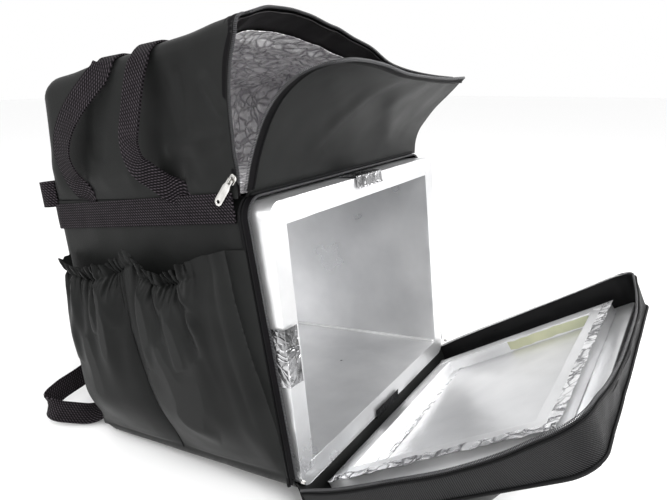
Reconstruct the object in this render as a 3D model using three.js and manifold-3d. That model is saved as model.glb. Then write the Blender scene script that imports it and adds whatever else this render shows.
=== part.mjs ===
// An insulated delivery backpack, standing open: the front door hangs down on its cloth hinge and
// the front flap of the upper compartment is unzipped and folded forward.
// Millimetres. In the bag's own frame x runs to the right seen from the front, y from the front
// to the back and z up. The finished bag leans back a little, because the open door lifts its front.
import * as THREE from 'three';
import { mergeVertices } from 'three/addons/utils/BufferGeometryUtils.js';
import Module from 'manifold-3d';

const wasm = await Module();
wasm.setup();

// Foam box with a foil face, which fills the lower compartment
const boxWidth = 430;
const boxHeight = 340;
const boxDepth = 348;
const boxWall = 27;
const boxCorner = 18;
const boxInnerCorner = 4;
const boxProtrusion = 26;

// Cloth shell of the lower compartment
const clothThickness = 2;
const sideEase = 4;
const baseThickness = 5;
const backPadding = 24;
const shellCorner = 24;
const rearCorner = 25;
const rearBottomRadius = 38;
const frontEdgeTop = 5;
const frontEdgeBottom = -19;
const seamGap = 0.3;

// Upper compartment, a cloth hood that is open at the front
const hoodRise = 181;
const hoodRearRise = 152;
const hoodFrontReach = 20;
const hoodFootSetback = 3;
const hoodBackSetback = 4;
const hoodBend = 16;
const hoodBackLean = 20;
const hoodRearRound = 45;
const hoodLift = 14;
const earDrop = 70;
const earReach = 74;
const liningThickness = 1.5;
const liningFloorSetback = 8;
const facingShare = 0.08;
const liningGapShare = 0.002;

// Front flap and zips
const flapReach = 131;
const flapRise = 122;
const flapCorner = 40;
const flapBulge = 6;
const flapZipWidth = 9;
const zipTape = 8;
const zipTapeThickness = 1.2;
const coilRadius = 1.6;
const coilStandoff = 0.5;
const pipingRadius = 2.2;

// Door: an outer panel, a gusset round three sides, and a foam plug on a board
const doorAngle = 26.9;
const doorSetForward = 47.7;
const doorSetDown = 1.8;
const doorShortfall = 20;
const doorHingeMargin = 27;
const doorPanelThickness = 2;
const doorCorner = 32;
const gussetBase = 29;
const gussetRise = 15;
const gussetSetback = 11;
const plugSideSetback = 36;
const plugEndSetback = 38;
const plugWall = 26;
const plugHeight = 18;
const boardMargin = 24;
const boardHingeMargin = 22;
const boardThickness = 10;
const boardCorner = 8;
const boardShift = 6;
const pouchSideSetback = 29;
const pouchStart = 25;
const pouchEndSetback = 71;

// Webbing, straps, tabs and clips
const webbingThickness = 2;
const bandHeight = 33;
const bandDrop = 11;
const handleWidth = 30;
const handleStandoff = 22;
const handleReach = 96;
const handleEase = 2.5;
const handleLift = 3;
const gripFront = 0.375;
const gripRear = 0.56;
const tabHeight = 34;
const tabReach = 18;
const tabCentreAngle = 50;
const strapWidth = 62;
const strapThickness = 10;
const strapReach = 62;
const tailWidth = 36;
const tailThickness = 3;
const tailReach = 78;
const tailClearance = 1;
const tailOverlap = 22;
const clipWidth = 68;
const clipThickness = 2;
const clipReach = 22;
const clipLongLeg = 24;
const clipShortLeg = 6;

// Side pockets
const pocketClothThickness = 1.5;
const pocketBulge = 24;
const pocketHeight = 262;
const pocketMouth = 9;
const pocketGather = 3.2;
const pocketFootFront = 17;
const pocketColumns = 32;

// Zip slider and its pull
const sliderLength = 12;
const sliderWidth = 9;
const sliderThickness = 3.5;
const bailHeight = 4.5;
const bailBar = 1.2;
const pullLength = 36;
const pullWidth = 10;
const pullThickness = 1.6;
const pullEyeWidth = 4;
const pullHoleRadius = 2.2;
const pullClearance = 1.5;
const bailRoot = 1;
const sliderSetback = 5;
const sliderRise = 20.5;
const sliderAngle = 47;

// Sizes that follow from the ones above
const halfWidth = boxWidth / 2 + sideEase + clothThickness;
const shellBottom = -seamGap - baseThickness;
const shellTop = boxHeight + sideEase + clothThickness;
const boxBack = boxDepth - boxProtrusion;
const shellBack = boxBack + seamGap + backPadding;
const shellHeight = shellTop - shellBottom;
const hoodFoot = shellTop + seamGap;
const hoodBackFoot = shellBack - hoodBackSetback;
const doorLength = boxHeight - doorShortfall;
const plugWidth = 2 * (halfWidth - plugSideSetback);
const plugLength = doorLength - plugEndSetback;
const pouchHalfWidth = halfWidth - pouchSideSetback;
const pouchEnd = doorLength - pouchEndSetback;
const panelTop = -gussetBase;
const doorTilt = THREE.MathUtils.degToRad(doorAngle);

const colours = {
  nylon: new THREE.MeshStandardMaterial({ color: 0x2b2b2d, roughness: 0.62, metalness: 0 }),
  webbing: new THREE.MeshStandardMaterial({ color: 0x1c191d, roughness: 0.8, metalness: 0 }),
  zip: new THREE.MeshStandardMaterial({ color: 0x141315, roughness: 0.55, metalness: 0 }),
  foil: new THREE.MeshStandardMaterial({ color: 0xd8d9dc, roughness: 0.28, metalness: 1 }),
  crinkledFoil: new THREE.MeshStandardMaterial({ color: 0xb9b7bd, roughness: 0.35, metalness: 1 }),
  nickel: new THREE.MeshStandardMaterial({ color: 0xb8b8b4, roughness: 0.25, metalness: 1 }),
  padding: new THREE.MeshStandardMaterial({ color: 0x262628, roughness: 0.7, metalness: 0 }),
};

// Small helpers: numbers, tables and curves
const point = (x, y, z) => new THREE.Vector3(x, y, z);
const mix = THREE.MathUtils.lerp;
const clamp = THREE.MathUtils.clamp;
const smooth = (share) => THREE.MathUtils.smoothstep(share, 0, 1);

// A value from a table's column, between the two rows round a place in another column
function lookUp(rows, key, at, column) {
  const last = rows.length - 1;
  if (at <= rows[0][key]) {
    return rows[0][column];
  }
  for (let i = 0; i < last; i += 1) {
    const here = rows[i];
    const next = rows[i + 1];
    if (at <= next[key]) {
      const share = (at - here[key]) / (next[key] - here[key]);
      return mix(here[column], next[column], share);
    }
  }
  return rows[last][column];
}

function curveThrough(points) {
  return new THREE.CatmullRomCurve3(points, false, 'centripetal');
}

// Solids from grids of points

function signedVolume(positions, triangles) {
  let six = 0;
  for (const [a, b, c] of triangles) {
    six += positions[a].dot(positions[b].clone().cross(positions[c]));
  }
  return six / 6;
}

// A geometry from points and triangles, with collapsed triangles left out and its faces outward
function closedGeometry(positions, triangles) {
  const apart = (a, b) => positions[a].distanceToSquared(positions[b]) > 1e-6;
  const kept = triangles.filter(([a, b, c]) => apart(a, b) && apart(b, c) && apart(c, a));
  const outward = signedVolume(positions, kept) > 0;
  const geometry = new THREE.BufferGeometry();
  const flat = positions.flatMap((p) => [p.x, p.y, p.z]);
  geometry.setAttribute('position', new THREE.Float32BufferAttribute(flat, 3));
  geometry.setIndex(kept.flatMap(([a, b, c]) => (outward ? [a, b, c] : [a, c, b])));
  return mergeVertices(geometry, 1e-3);
}

// The outward direction at each point of a grid, averaged over the faces round it
function gridNormals(grid) {
  const rows = grid.length;
  const columns = grid[0].length;
  const normals = grid.map((row) => row.map(() => point(0, 0, 0)));
  for (let i = 0; i < rows - 1; i += 1) {
    for (let j = 0; j < columns - 1; j += 1) {
      const across = grid[i + 1][j + 1].clone().sub(grid[i][j]);
      const other = grid[i][j + 1].clone().sub(grid[i + 1][j]);
      const face = across.cross(other);
      for (const [a, b] of [[i, j], [i + 1, j], [i, j + 1], [i + 1, j + 1]]) {
        normals[a][b].add(face);
      }
    }
  }
  for (const row of normals) {
    row.forEach((normal) => normal.normalize());
  }
  return normals;
}

// A sheet of cloth: the grid moved along its normals by two distances, and walls round its rim
function layer(grid, normals, near, far, settle = (p) => p) {
  const shifted = (distance) => grid.map((row, i) => row.map((p, j) => (
    settle(p.clone().addScaledVector(normals[i][j], distance))
  )));
  return solidBetween(shifted(near), shifted(far));
}

function solidBetween(front, back) {
  const rows = front.length;
  const columns = front[0].length;
  const positions = [...front.flat(), ...back.flat()];
  const offset = rows * columns;
  const at = (i, j) => i * columns + j;
  const triangles = [];
  const quad = (a, b, c, d) => triangles.push([a, b, c], [a, c, d]);
  for (let i = 0; i < rows - 1; i += 1) {
    for (let j = 0; j < columns - 1; j += 1) {
      quad(at(i, j), at(i, j + 1), at(i + 1, j + 1), at(i + 1, j));
      quad(offset + at(i, j), offset + at(i + 1, j), offset + at(i + 1, j + 1), offset + at(i, j + 1));
    }
  }
  for (let i = 0; i < rows - 1; i += 1) {
    quad(at(i, 0), at(i + 1, 0), offset + at(i + 1, 0), offset + at(i, 0));
    const j = columns - 1;
    quad(at(i, j), offset + at(i, j), offset + at(i + 1, j), at(i + 1, j));
  }
  for (let j = 0; j < columns - 1; j += 1) {
    quad(at(0, j), offset + at(0, j), offset + at(0, j + 1), at(0, j + 1));
    const i = rows - 1;
    quad(at(i, j), at(i, j + 1), offset + at(i, j + 1), offset + at(i, j));
  }
  return closedGeometry(positions, triangles);
}

// A solid swept through stations, each a place with two directions for its flat section
function swept(stations, section) {
  const count = section.length;
  const positions = stations.flatMap(({ at, along, out }) => section.map(([a, b]) => (
    at.clone().addScaledVector(along, a).addScaledVector(out, b)
  )));
  const triangles = [];
  for (let i = 0; i < stations.length - 1; i += 1) {
    for (let j = 0; j < count; j += 1) {
      const k = (j + 1) % count;
      const here = i * count;
      const next = here + count;
      triangles.push([here + j, here + k, next + k], [here + j, next + k, next + j]);
    }
  }
  const caps = THREE.ShapeUtils.triangulateShape(section.map(([a, b]) => new THREE.Vector2(a, b)), []);
  const end = (stations.length - 1) * count;
  for (const [a, b, c] of caps) {
    triangles.push([a, c, b], [end + a, end + b, end + c]);
  }
  return closedGeometry(positions, triangles);
}

const flatSection = (width, thickness) => [
  [-width / 2, -thickness / 2],
  [width / 2, -thickness / 2],
  [width / 2, thickness / 2],
  [-width / 2, thickness / 2],
];

function roundSection(radius, sides) {
  return Array.from({ length: sides }, (_, k) => {
    const angle = (2 * Math.PI * k) / sides;
    return [radius * Math.cos(angle), radius * Math.sin(angle)];
  });
}

// Solids from shapes, joined and cut

function solid(geometry) {
  const bare = geometry.index ? geometry.clone() : geometry;
  bare.deleteAttribute('normal');
  bare.deleteAttribute('uv');
  const merged = mergeVertices(bare, 1e-3);
  return new wasm.Manifold(new wasm.Mesh({
    numProp: 3,
    vertProperties: new Float32Array(merged.attributes.position.array),
    triVerts: new Uint32Array(merged.index.array),
  }));
}

function geometryOf(manifold) {
  const mesh = manifold.getMesh();
  const geometry = new THREE.BufferGeometry();
  geometry.setAttribute('position', new THREE.BufferAttribute(mesh.vertProperties, 3));
  geometry.setIndex(new THREE.BufferAttribute(mesh.triVerts, 1));
  return geometry;
}

function roundedRectangle(left, right, bottom, top, radius) {
  const shape = new THREE.Shape();
  shape.moveTo(left + radius, bottom);
  shape.lineTo(right - radius, bottom);
  shape.absarc(right - radius, bottom + radius, radius, -Math.PI / 2, 0, false);
  shape.lineTo(right, top - radius);
  shape.absarc(right - radius, top - radius, radius, 0, Math.PI / 2, false);
  shape.lineTo(left + radius, top);
  shape.absarc(left + radius, top - radius, radius, Math.PI / 2, Math.PI, false);
  shape.lineTo(left, bottom + radius);
  shape.absarc(left + radius, bottom + radius, radius, Math.PI, 1.5 * Math.PI, false);
  return shape;
}

const extrude = (shape, depth, curveSegments = 2) => (
  new THREE.ExtrudeGeometry(shape, { depth, bevelEnabled: false, curveSegments })
);

// A shape drawn in x and z, extruded from one depth to another
function frontExtrusion(shape, from, to) {
  const turn = new THREE.Matrix4().makeBasis(point(1, 0, 0), point(0, 0, 1), point(0, -1, 0));
  return extrude(shape, to - from).applyMatrix4(turn).translate(0, to, 0);
}

// A shape drawn in y and z, extruded across the width
function sideExtrusion(shape, from, to) {
  const turn = new THREE.Matrix4().makeBasis(point(0, 1, 0), point(0, 0, 1), point(1, 0, 0));
  return extrude(shape, to - from, 3).applyMatrix4(turn).translate(from, 0, 0);
}

function planExtrusion(shape, from, to) {
  return extrude(shape, to - from).translate(0, 0, from);
}

function part(name, geometry, material) {
  const mesh = new THREE.Mesh(geometry, material);
  mesh.name = name;
  return mesh;
}

// The same piece on the other side of the bag
function mirrored(geometry) {
  const copy = geometry.clone();
  const places = copy.attributes.position;
  for (let i = 0; i < places.count; i += 1) {
    places.setX(i, -places.getX(i));
  }
  const index = Array.from(copy.index.array);
  for (let i = 0; i < index.length; i += 3) {
    [index[i + 1], index[i + 2]] = [index[i + 2], index[i + 1]];
  }
  copy.setIndex(index);
  return copy;
}

// Lower compartment

// The shell's front edge runs forward towards the bottom
const frontEdge = (z) => mix(frontEdgeBottom, frontEdgeTop, (z - shellBottom) / shellHeight);

// A box with a sloping front, rounded at its long edges and at the rear
function shellBody(side, bottom, top, back, front, corner, rear, rearBottom) {
  const profile = new THREE.Shape();
  profile.moveTo(front(bottom), bottom);
  profile.lineTo(back - rearBottom, bottom);
  profile.absarc(back - rearBottom, bottom + rearBottom, rearBottom, -Math.PI / 2, 0, false);
  profile.lineTo(back, top);
  profile.lineTo(front(top), top);
  const reach = 4 * corner;
  const plan = roundedRectangle(-side, side, frontEdgeBottom - 2 * reach, back, rear);
  const face = roundedRectangle(-side, side, bottom, top, corner);
  return solid(sideExtrusion(profile, -side, side))
    .intersect(solid(planExtrusion(plan, bottom, top)))
    .intersect(solid(frontExtrusion(face, frontEdgeBottom - reach, back)));
}

function lowerShell() {
  const outer = shellBody(halfWidth, shellBottom, shellTop, shellBack, frontEdge, shellCorner,
    rearCorner, rearBottomRadius);
  const past = (z) => frontEdge(z) - clothThickness - shellCorner;
  const inner = shellBody(halfWidth - clothThickness, -seamGap, shellTop - clothThickness,
    shellBack - backPadding, past, shellCorner - clothThickness, sideEase,
    seamGap);
  return part('shell_lower', geometryOf(outer.subtract(inner)), colours.nylon);
}

function foamBox() {
  const face = roundedRectangle(-boxWidth / 2, boxWidth / 2, 0, boxHeight, boxCorner);
  const mouth = roundedRectangle(boxWall - boxWidth / 2, boxWidth / 2 - boxWall, boxWall,
    boxHeight - boxWall, boxInnerCorner);
  const block = solid(frontExtrusion(face, -boxProtrusion, boxBack));
  const hollow = solid(frontExtrusion(mouth, -boxProtrusion - boxWall, boxBack - boxWall));
  return part('foam_box', geometryOf(block.subtract(hollow)), colours.foil);
}

// Foil clips wrapped over the foam box's rim, each an angle that stands just off the edge
const clips = [
  { name: 'rim_clip_left', across: -1, up: 0.49, turn: Math.PI / 2, backLeg: clipLongLeg, material: colours.foil },
  { name: 'rim_clip_top', across: 0, up: 1, turn: Math.PI, backLeg: clipLongLeg, material: colours.foil },
  { name: 'rim_clip_bottom', across: 0, up: 0, turn: 0, backLeg: clipShortLeg, material: colours.webbing },
];

// Its section in y and z has one leg up the rim's face and one back along the box's outside
function rimClip({ name, across, up, turn, backLeg, material }) {
  const inner = seamGap;
  const outer = seamGap + clipThickness;
  const outline = new THREE.Shape();
  outline.moveTo(-outer, -inner);
  outline.absarc(-inner, -inner, clipThickness, Math.PI, 1.5 * Math.PI, false);
  outline.lineTo(backLeg, -outer);
  outline.lineTo(backLeg, -inner);
  outline.lineTo(-inner, -inner);
  outline.lineTo(-inner, clipReach);
  outline.lineTo(-outer, clipReach);
  const geometry = sideExtrusion(outline, -clipWidth / 2, clipWidth / 2);
  const mesh = part(name, geometry, material);
  mesh.position.set((across * boxWidth) / 2, -boxProtrusion, up * boxHeight);
  mesh.rotation.y = turn;
  return mesh;
}

// Places along the shell's front edge: up the left side, over the top and down the right side
function shellEdgeStations(foot) {
  const side = halfWidth - shellCorner;
  const top = shellTop - shellCorner;
  const flat = [];
  const legSteps = 3;
  const bendSteps = 5;
  for (let k = 0; k < legSteps; k += 1) {
    flat.push({ x: -halfWidth, z: mix(foot, top, k / legSteps), angle: Math.PI });
  }
  for (let k = 0; k <= bendSteps; k += 1) {
    const angle = Math.PI - (k / bendSteps) * (Math.PI / 2);
    const x = shellCorner * Math.cos(angle) - side;
    flat.push({ x, z: top + shellCorner * Math.sin(angle), angle });
  }
  const right = flat.map(({ x, z, angle }) => ({ x: -x, z, angle: Math.PI - angle })).reverse();
  return [...flat, ...right].map(({ x, z, angle }) => ({
    at: point(x, frontEdge(z), z),
    along: point(0, -1, 0),
    out: point(Math.cos(angle), 0, Math.sin(angle)),
  }));
}

function shellPiping() {
  const middle = seamGap + pipingRadius;
  const inset = pipingRadius / 2;
  const section = roundSection(pipingRadius, 8).map(([a, b]) => [a + middle, b - inset]);
  const stations = shellEdgeStations(shellBottom + shellCorner / 2);
  return part('shell_piping', swept(stations, section), colours.webbing);
}

// A zip's section: a flat tape with half of the coil as a ridge along its free edge
function zipSection(start, width, level) {
  const coil = start + width;
  const top = level + zipTapeThickness / 2;
  const bottom = level - zipTapeThickness / 2;
  return [
    [start, bottom],
    [coil, bottom],
    [coil + coilRadius / 2, level - coilRadius],
    [coil + 1.5 * coilRadius, level - coilRadius],
    [coil + 2 * coilRadius, level],
    [coil + 1.5 * coilRadius, level + coilRadius],
    [coil + coilRadius / 2, level + coilRadius],
    [coil, top],
    [start, top],
  ];
}

function shellZip() {
  const start = 2 * (seamGap + pipingRadius);
  const section = zipSection(start, zipTape, -zipTapeThickness);
  const stations = shellEdgeStations(shellBottom + shellCorner);
  return part('door_zip_shell', swept(stations, section), colours.zip);
}

// Small metal stops that close the shell's zip at its two lower ends
function zipStop(name, side) {
  const foot = shellBottom + shellCorner;
  const height = 2 * coilRadius;
  const forward = 2 * (seamGap + pipingRadius) + zipTape + coilRadius;
  const block = new THREE.BoxGeometry(2 * coilRadius, 2 * coilRadius + clothThickness, height);
  const mesh = part(name, block, colours.nickel);
  const x = side * (halfWidth - zipTapeThickness);
  mesh.position.set(x, frontEdge(foot) - forward, foot - seamGap - height / 2);
  return mesh;
}

// Upper compartment

// The roof's front edge, from the left corner to the ear at the right: how far it is lifted, as a
// share of the lift (or dropped, of the ear's drop), and how far it is pulled forward
const roofEdge = [
  { across: 0, lift: 0, drop: 0, pull: 0 },
  { across: 0.09, lift: 0.6, drop: 0, pull: 0 },
  { across: 0.165, lift: 0.65, drop: 0, pull: 0 },
  { across: 0.25, lift: 0.46, drop: 0, pull: 0 },
  { across: 0.387, lift: 0, drop: 0.05, pull: 0 },
  { across: 0.49, lift: 0, drop: 0.2, pull: 0.01 },
  { across: 0.6, lift: 0, drop: 0.35, pull: 0.03 },
  { across: 0.7, lift: 0, drop: 0.61, pull: 0.09 },
  { across: 0.79, lift: 0, drop: 0.78, pull: 0.3 },
  { across: 0.896, lift: 0, drop: 0.92, pull: 0.67 },
  { across: 1, lift: 0, drop: 1, pull: 1 },
];

// The front edge of each side wall, as shares of the wall's height and of its reach forward
const leftWallEdge = [
  { up: 0, reach: 0 },
  { up: 0.2, reach: 0.05 },
  { up: 0.4, reach: 0.05 },
  { up: 0.6, reach: 0.1 },
  { up: 0.8, reach: 0.32 },
  { up: 1, reach: 0.8 },
];
const rightWallEdge = [
  { up: 0, reach: 0 },
  { up: 0.2, reach: 0 },
  { up: 0.4, reach: 0.07 },
  { up: 0.6, reach: 0.25 },
  { up: 0.8, reach: 0.48 },
  { up: 1, reach: 0.76 },
];

// The roof falls towards the rear
const roofLine = [
  { back: 0, rise: 1 },
  { back: 0.25, rise: 0.7 },
  { back: 0.5, rise: 0.47 },
  { back: 0.8, rise: 0.24 },
  { back: 1, rise: 0 },
];

// How much of the front edge's shape is left further back
const frontFade = (back) => 1 - smooth(back / 0.6);

const facingPlaces = [0, facingShare / 2, facingShare];
const liningPlaces = [facingShare + liningGapShare, 0.16, 0.28, 0.42, 0.56, 0.7, 0.85, 1];
const hoodPlaces = [...facingPlaces, ...liningPlaces];
const hoodColumns = (() => {
  const legs = [0, 0.2, 0.4, 0.6, 0.8, 1].map((up) => ({ up }));
  const bends = [1 / 3, 2 / 3].map((turn) => ({ turn }));
  const roof = roofEdge.slice(1, -1).map(({ across }) => ({ across }));
  return [
    ...legs.map(({ up }) => ({ side: -1, up, turn: 0 })),
    ...bends.map(({ turn }) => ({ side: -1, up: 1, turn })),
    { side: -1, up: 1, turn: 1 },
    ...roof.map(({ across }) => ({ across })),
    { side: 1, up: 1, turn: 1 },
    ...bends.map(({ turn }) => ({ side: 1, up: 1, turn })).reverse(),
    ...legs.map(({ up }) => ({ side: 1, up, turn: 0 })).reverse(),
  ];
})();

const hoodBack = (z) => hoodBackFoot - hoodBackLean * clamp((z - hoodFoot) / hoodRearRise, 0, 1);
const roofAcross = ({ side, across }) => across ?? (side < 0 ? 0 : 1);
const roofDrop = (across) => hoodLift * lookUp(roofEdge, 'across', across, 'lift')
  - earDrop * lookUp(roofEdge, 'across', across, 'drop');
const roofRise = (back) => mix(hoodRearRise, hoodRise, lookUp(roofLine, 'back', back, 'rise'));

// A place on an arch of the hood, in x and z, for a half width, a rise and a bend
function archPoint(column, half, rise, bend) {
  const { side, up, turn, across } = column;
  if (across !== undefined) {
    return { x: mix(bend - half, half - bend, across), z: hoodFoot + rise };
  }
  if (turn === 0) {
    return { x: side * half, z: hoodFoot + up * (rise - bend) };
  }
  const angle = (turn * Math.PI) / 2;
  return {
    x: side * (half - bend + bend * Math.cos(angle)),
    z: hoodFoot + rise - bend + bend * Math.sin(angle),
  };
}

// How far forward the hood's front edge stands at a column
function hoodFront(column) {
  const foot = frontEdgeTop + hoodFootSetback;
  const left = -hoodFrontReach;
  const right = -earReach;
  if (column.across !== undefined) {
    return mix(left, right, lookUp(roofEdge, 'across', column.across, 'pull'));
  }
  if (column.side < 0) {
    return mix(foot, left, lookUp(leftWallEdge, 'up', column.up, 'reach'));
  }
  return mix(foot, right, mix(lookUp(rightWallEdge, 'up', column.up, 'reach'), 1, column.turn));
}

// The rounding at the rear is tight round the upright corners and wide over the roof
function rearRound(column) {
  const tight = rearCorner;
  const wide = hoodRearRound;
  return mix(tight, wide, column.across === undefined ? column.turn : 1);
}

function hoodPoint(column, back) {
  const fade = frontFade(back);
  const drop = roofDrop(roofAcross(column)) * fade;
  const rise = roofRise(back) + drop;
  const { x, z } = archPoint(column, halfWidth, rise, hoodBend);
  const front = hoodFront(column);
  const rear = hoodBack(z) - rearRound(column);
  return point(x, mix(front, rear, back), z);
}

// Past the last row the hood turns round its rear corners and closes in a flat back
function hoodRearPoint(column, turn, shrink) {
  const angle = (turn * Math.PI) / 2;
  const inward = 1 - Math.cos(angle);
  const half = (halfWidth - rearCorner * inward) * shrink;
  const rise = (hoodRearRise - hoodRearRound * inward) * shrink;
  const { x, z } = archPoint(column, half, rise, Math.min(hoodBend, half / 4, rise / 4));
  const round = rearRound(column);
  return point(x, hoodBack(z) - round + round * Math.sin(angle), z);
}

const hood = [
  ...hoodPlaces.map((back) => hoodColumns.map((column) => hoodPoint(column, back))),
  ...[0.33, 0.67, 1].map((turn) => hoodColumns.map((column) => hoodRearPoint(column, turn, 1))),
  ...[0.6, 0.25].map((shrink) => hoodColumns.map((column) => hoodRearPoint(column, 1, shrink))),
  hoodColumns.map(() => point(0, hoodBack(hoodFoot), hoodFoot)),
];
const hoodNormals = gridNormals(hood);
hoodNormals[hood.length - 1].forEach((normal) => normal.set(0, -1, 0));
const above = (level) => (p) => p.setZ(Math.max(p.z, level));

function hoodLayer(firstRow, lastRow, near, far, foot = hoodFoot) {
  const grid = hood.slice(firstRow, lastRow);
  const normals = hoodNormals.slice(firstRow, lastRow);
  return layer(grid, normals, near, far, above(foot));
}

const facingRows = facingPlaces.length;
const liningNear = clothThickness + seamGap;
const liningFar = liningNear + liningThickness;

function upperLining() {
  const walls = solid(hoodLayer(facingRows, hood.length, liningNear, liningFar));
  const inset = halfWidth - liningNear - liningThickness / 2;
  const plan = roundedRectangle(-inset, inset, frontEdgeTop + liningFloorSetback,
    hoodBackFoot - liningNear - liningThickness / 2, rearCorner - liningNear);
  const floor = solid(planExtrusion(plan, hoodFoot, hoodFoot + liningThickness));
  return part('upper_lining', geometryOf(walls.add(floor)), colours.crinkledFoil);
}

function upperFacing() {
  const foot = hoodFoot + liningThickness + seamGap;
  return part('upper_facing', hoodLayer(0, facingRows, liningNear, liningFar, foot), colours.webbing);
}

function upperShell() {
  return part('shell_upper', hoodLayer(0, hood.length, 0, clothThickness), colours.nylon);
}

// The open half of the upper zip runs up the left wall's front edge and along the roof's front edge
function upperZip() {
  const firstColumn = 1;
  const lastColumn = hoodColumns.findIndex(({ side, turn }) => side > 0 && turn === 1);
  const stations = [];
  for (let j = firstColumn; j <= lastColumn; j += 1) {
    stations.push({
      at: hood[0][j].clone().addScaledVector(hoodNormals[0][j], clothThickness / 2),
      along: point(0, -1, 0),
      out: hoodNormals[0][j].clone().negate().setY(0).normalize(),
    });
  }
  const section = zipSection(seamGap, zipTape / 4, 0);
  return part('upper_zip', swept(stations, section), colours.zip);
}

// Front flap

// Its left edge curls forward from the slider, as shares of the flap's reach and rise
const flapLeftEdge = [
  { reach: 0, rise: 0 },
  { reach: 0.05, rise: 0.07 },
  { reach: 0.13, rise: 0.29 },
  { reach: 0.23, rise: 0.5 },
  { reach: 0.32, rise: 0.65 },
  { reach: 0.45, rise: 0.8 },
  { reach: 0.59, rise: 0.9 },
  { reach: 0.73, rise: 0.965 },
  { reach: 0.86, rise: 0.995 },
  { reach: 1, rise: 1 },
];
const flapTopEdge = [
  { across: -1, reach: 1, rise: 1 },
  { across: -0.8, reach: 0.97, rise: 1.03 },
  { across: -0.5, reach: 0.93, rise: 1.01 },
  { across: -0.15, reach: 0.87, rise: 0.94 },
  { across: 0.2, reach: 0.81, rise: 0.915 },
  { across: 0.63, reach: 0.74, rise: 0.9 },
  { across: 1, reach: 0.7, rise: 0.915 },
];
const flapRightEdge = [
  { reach: 0, rise: 0 },
  { reach: 0.02, rise: 0.15 },
  { reach: 0.08, rise: 0.3 },
  { reach: 0.19, rise: 0.44 },
  { reach: 0.32, rise: 0.58 },
  { reach: 0.5, rise: 0.73 },
  { reach: 0.7, rise: 0.915 },
];
const flapFoot = frontEdgeTop;
const flapPlace = (across, reach, rise) => point(
  across * halfWidth,
  flapFoot - reach * flapReach,
  hoodFoot + rise * flapRise,
);
const flapLeft = curveThrough(flapLeftEdge.map(({ reach, rise }) => flapPlace(-1, reach, rise)));
const flapTop = curveThrough(flapTopEdge.map(({ across, reach, rise }) => flapPlace(across, reach, rise)));
const flapRight = curveThrough(flapRightEdge.map(({ reach, rise }) => flapPlace(1, reach, rise)));
const flapWidth = 2 * halfWidth;
const flapHeight = flapLeft.getLength();

// The flap's middle is blended from its four edges, a share across and a share up
function flapSurface(across, up) {
  const bottom = flapPlace(mix(-1, 1, across), 0, 0);
  const top = flapTop.getPointAt(across);
  const left = flapLeft.getPointAt(up);
  const right = flapRight.getPointAt(up);
  const sides = left.clone().lerp(right, across);
  const ends = bottom.clone().lerp(top, up);
  const lowCorners = flapPlace(-1, 0, 0).lerp(flapPlace(1, 0, 0), across);
  const highCorners = flapTop.getPointAt(0).lerp(flapTop.getPointAt(1), across);
  const corners = lowCorners.lerp(highCorners, up);
  const middle = sides.add(ends).sub(corners);
  const bulge = flapBulge * Math.sin(Math.PI * across) * Math.sin(Math.PI * up);
  middle.y -= bulge;
  return middle;
}

// The flap's upper left corner is round: how high the cloth reaches at a distance from its left edge
function flapTopAt(distance, radius, inset) {
  const from = Math.max(distance, inset);
  const height = flapHeight - inset;
  if (from >= inset + radius) {
    return height;
  }
  const away = inset + radius - from;
  return height - radius + Math.sqrt(radius * radius - away * away);
}

function frontFlap() {
  const inset = flapZipWidth + 2 * seamGap;
  const radius = flapCorner - inset;
  const columns = [0, 0.15, 0.4, 0.7, 1].map((share) => inset + share * radius);
  const steps = 13;
  for (let k = 1; k <= steps; k += 1) {
    columns.push(mix(flapCorner, flapWidth, k / steps));
  }
  const rows = 10;
  const grid = [];
  for (let i = 0; i <= rows; i += 1) {
    grid.push(columns.map((distance) => {
      const height = flapTopAt(distance, radius, inset);
      return flapSurface(distance / flapWidth, (height / flapHeight) * (i / rows));
    }));
  }
  const geometry = layer(grid, gridNormals(grid), 0, clothThickness, above(hoodFoot));
  return part('front_flap', geometry, colours.nylon);
}

// The zip's tape along the flap's left edge, its round corner and its upper edge
function flapZip() {
  const places = [];
  const legSteps = 8;
  const bendSteps = 5;
  const topSteps = 12;
  const start = 0.06;
  const turn = flapHeight - flapCorner;
  for (let k = 0; k < legSteps; k += 1) {
    places.push({ x: 0, y: mix(start * flapHeight, turn, k / legSteps), angle: Math.PI });
  }
  for (let k = 0; k <= bendSteps; k += 1) {
    const angle = Math.PI - ((k / bendSteps) * Math.PI) / 2;
    places.push({
      x: flapCorner + flapCorner * Math.cos(angle),
      y: turn + flapCorner * Math.sin(angle),
      angle,
    });
  }
  for (let k = 1; k <= topSteps; k += 1) {
    places.push({ x: mix(flapCorner, flapWidth, k / topSteps), y: flapHeight, angle: Math.PI / 2 });
  }
  const rail = (inset) => places.map(({ x, y, angle }) => flapSurface(
    (x - inset * Math.cos(angle)) / flapWidth,
    (y - inset * Math.sin(angle)) / flapHeight,
  ));
  const grid = [rail(0), rail(flapZipWidth / 2), rail(flapZipWidth)];
  const normals = gridNormals(grid);
  return part('flap_zip', layer(grid, normals, 0, -clothThickness), colours.zip);
}

// Door, drawn flat: x across, y back to the hinge and z up from the foam plug's face
const panelBottom = panelTop - doorPanelThickness;

function doorPanel() {
  const shape = new THREE.Shape();
  shape.moveTo(-halfWidth, doorHingeMargin);
  shape.lineTo(-halfWidth, doorCorner - doorLength);
  const side = halfWidth - doorCorner;
  const end = doorCorner - doorLength;
  shape.absarc(-side, end, doorCorner, Math.PI, 1.5 * Math.PI, false);
  shape.lineTo(side, -doorLength);
  shape.absarc(side, end, doorCorner, 1.5 * Math.PI, 2 * Math.PI, false);
  shape.lineTo(halfWidth, doorHingeMargin);
  return part('door_panel', planExtrusion(shape, panelBottom, panelTop), colours.nylon);
}

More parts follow.
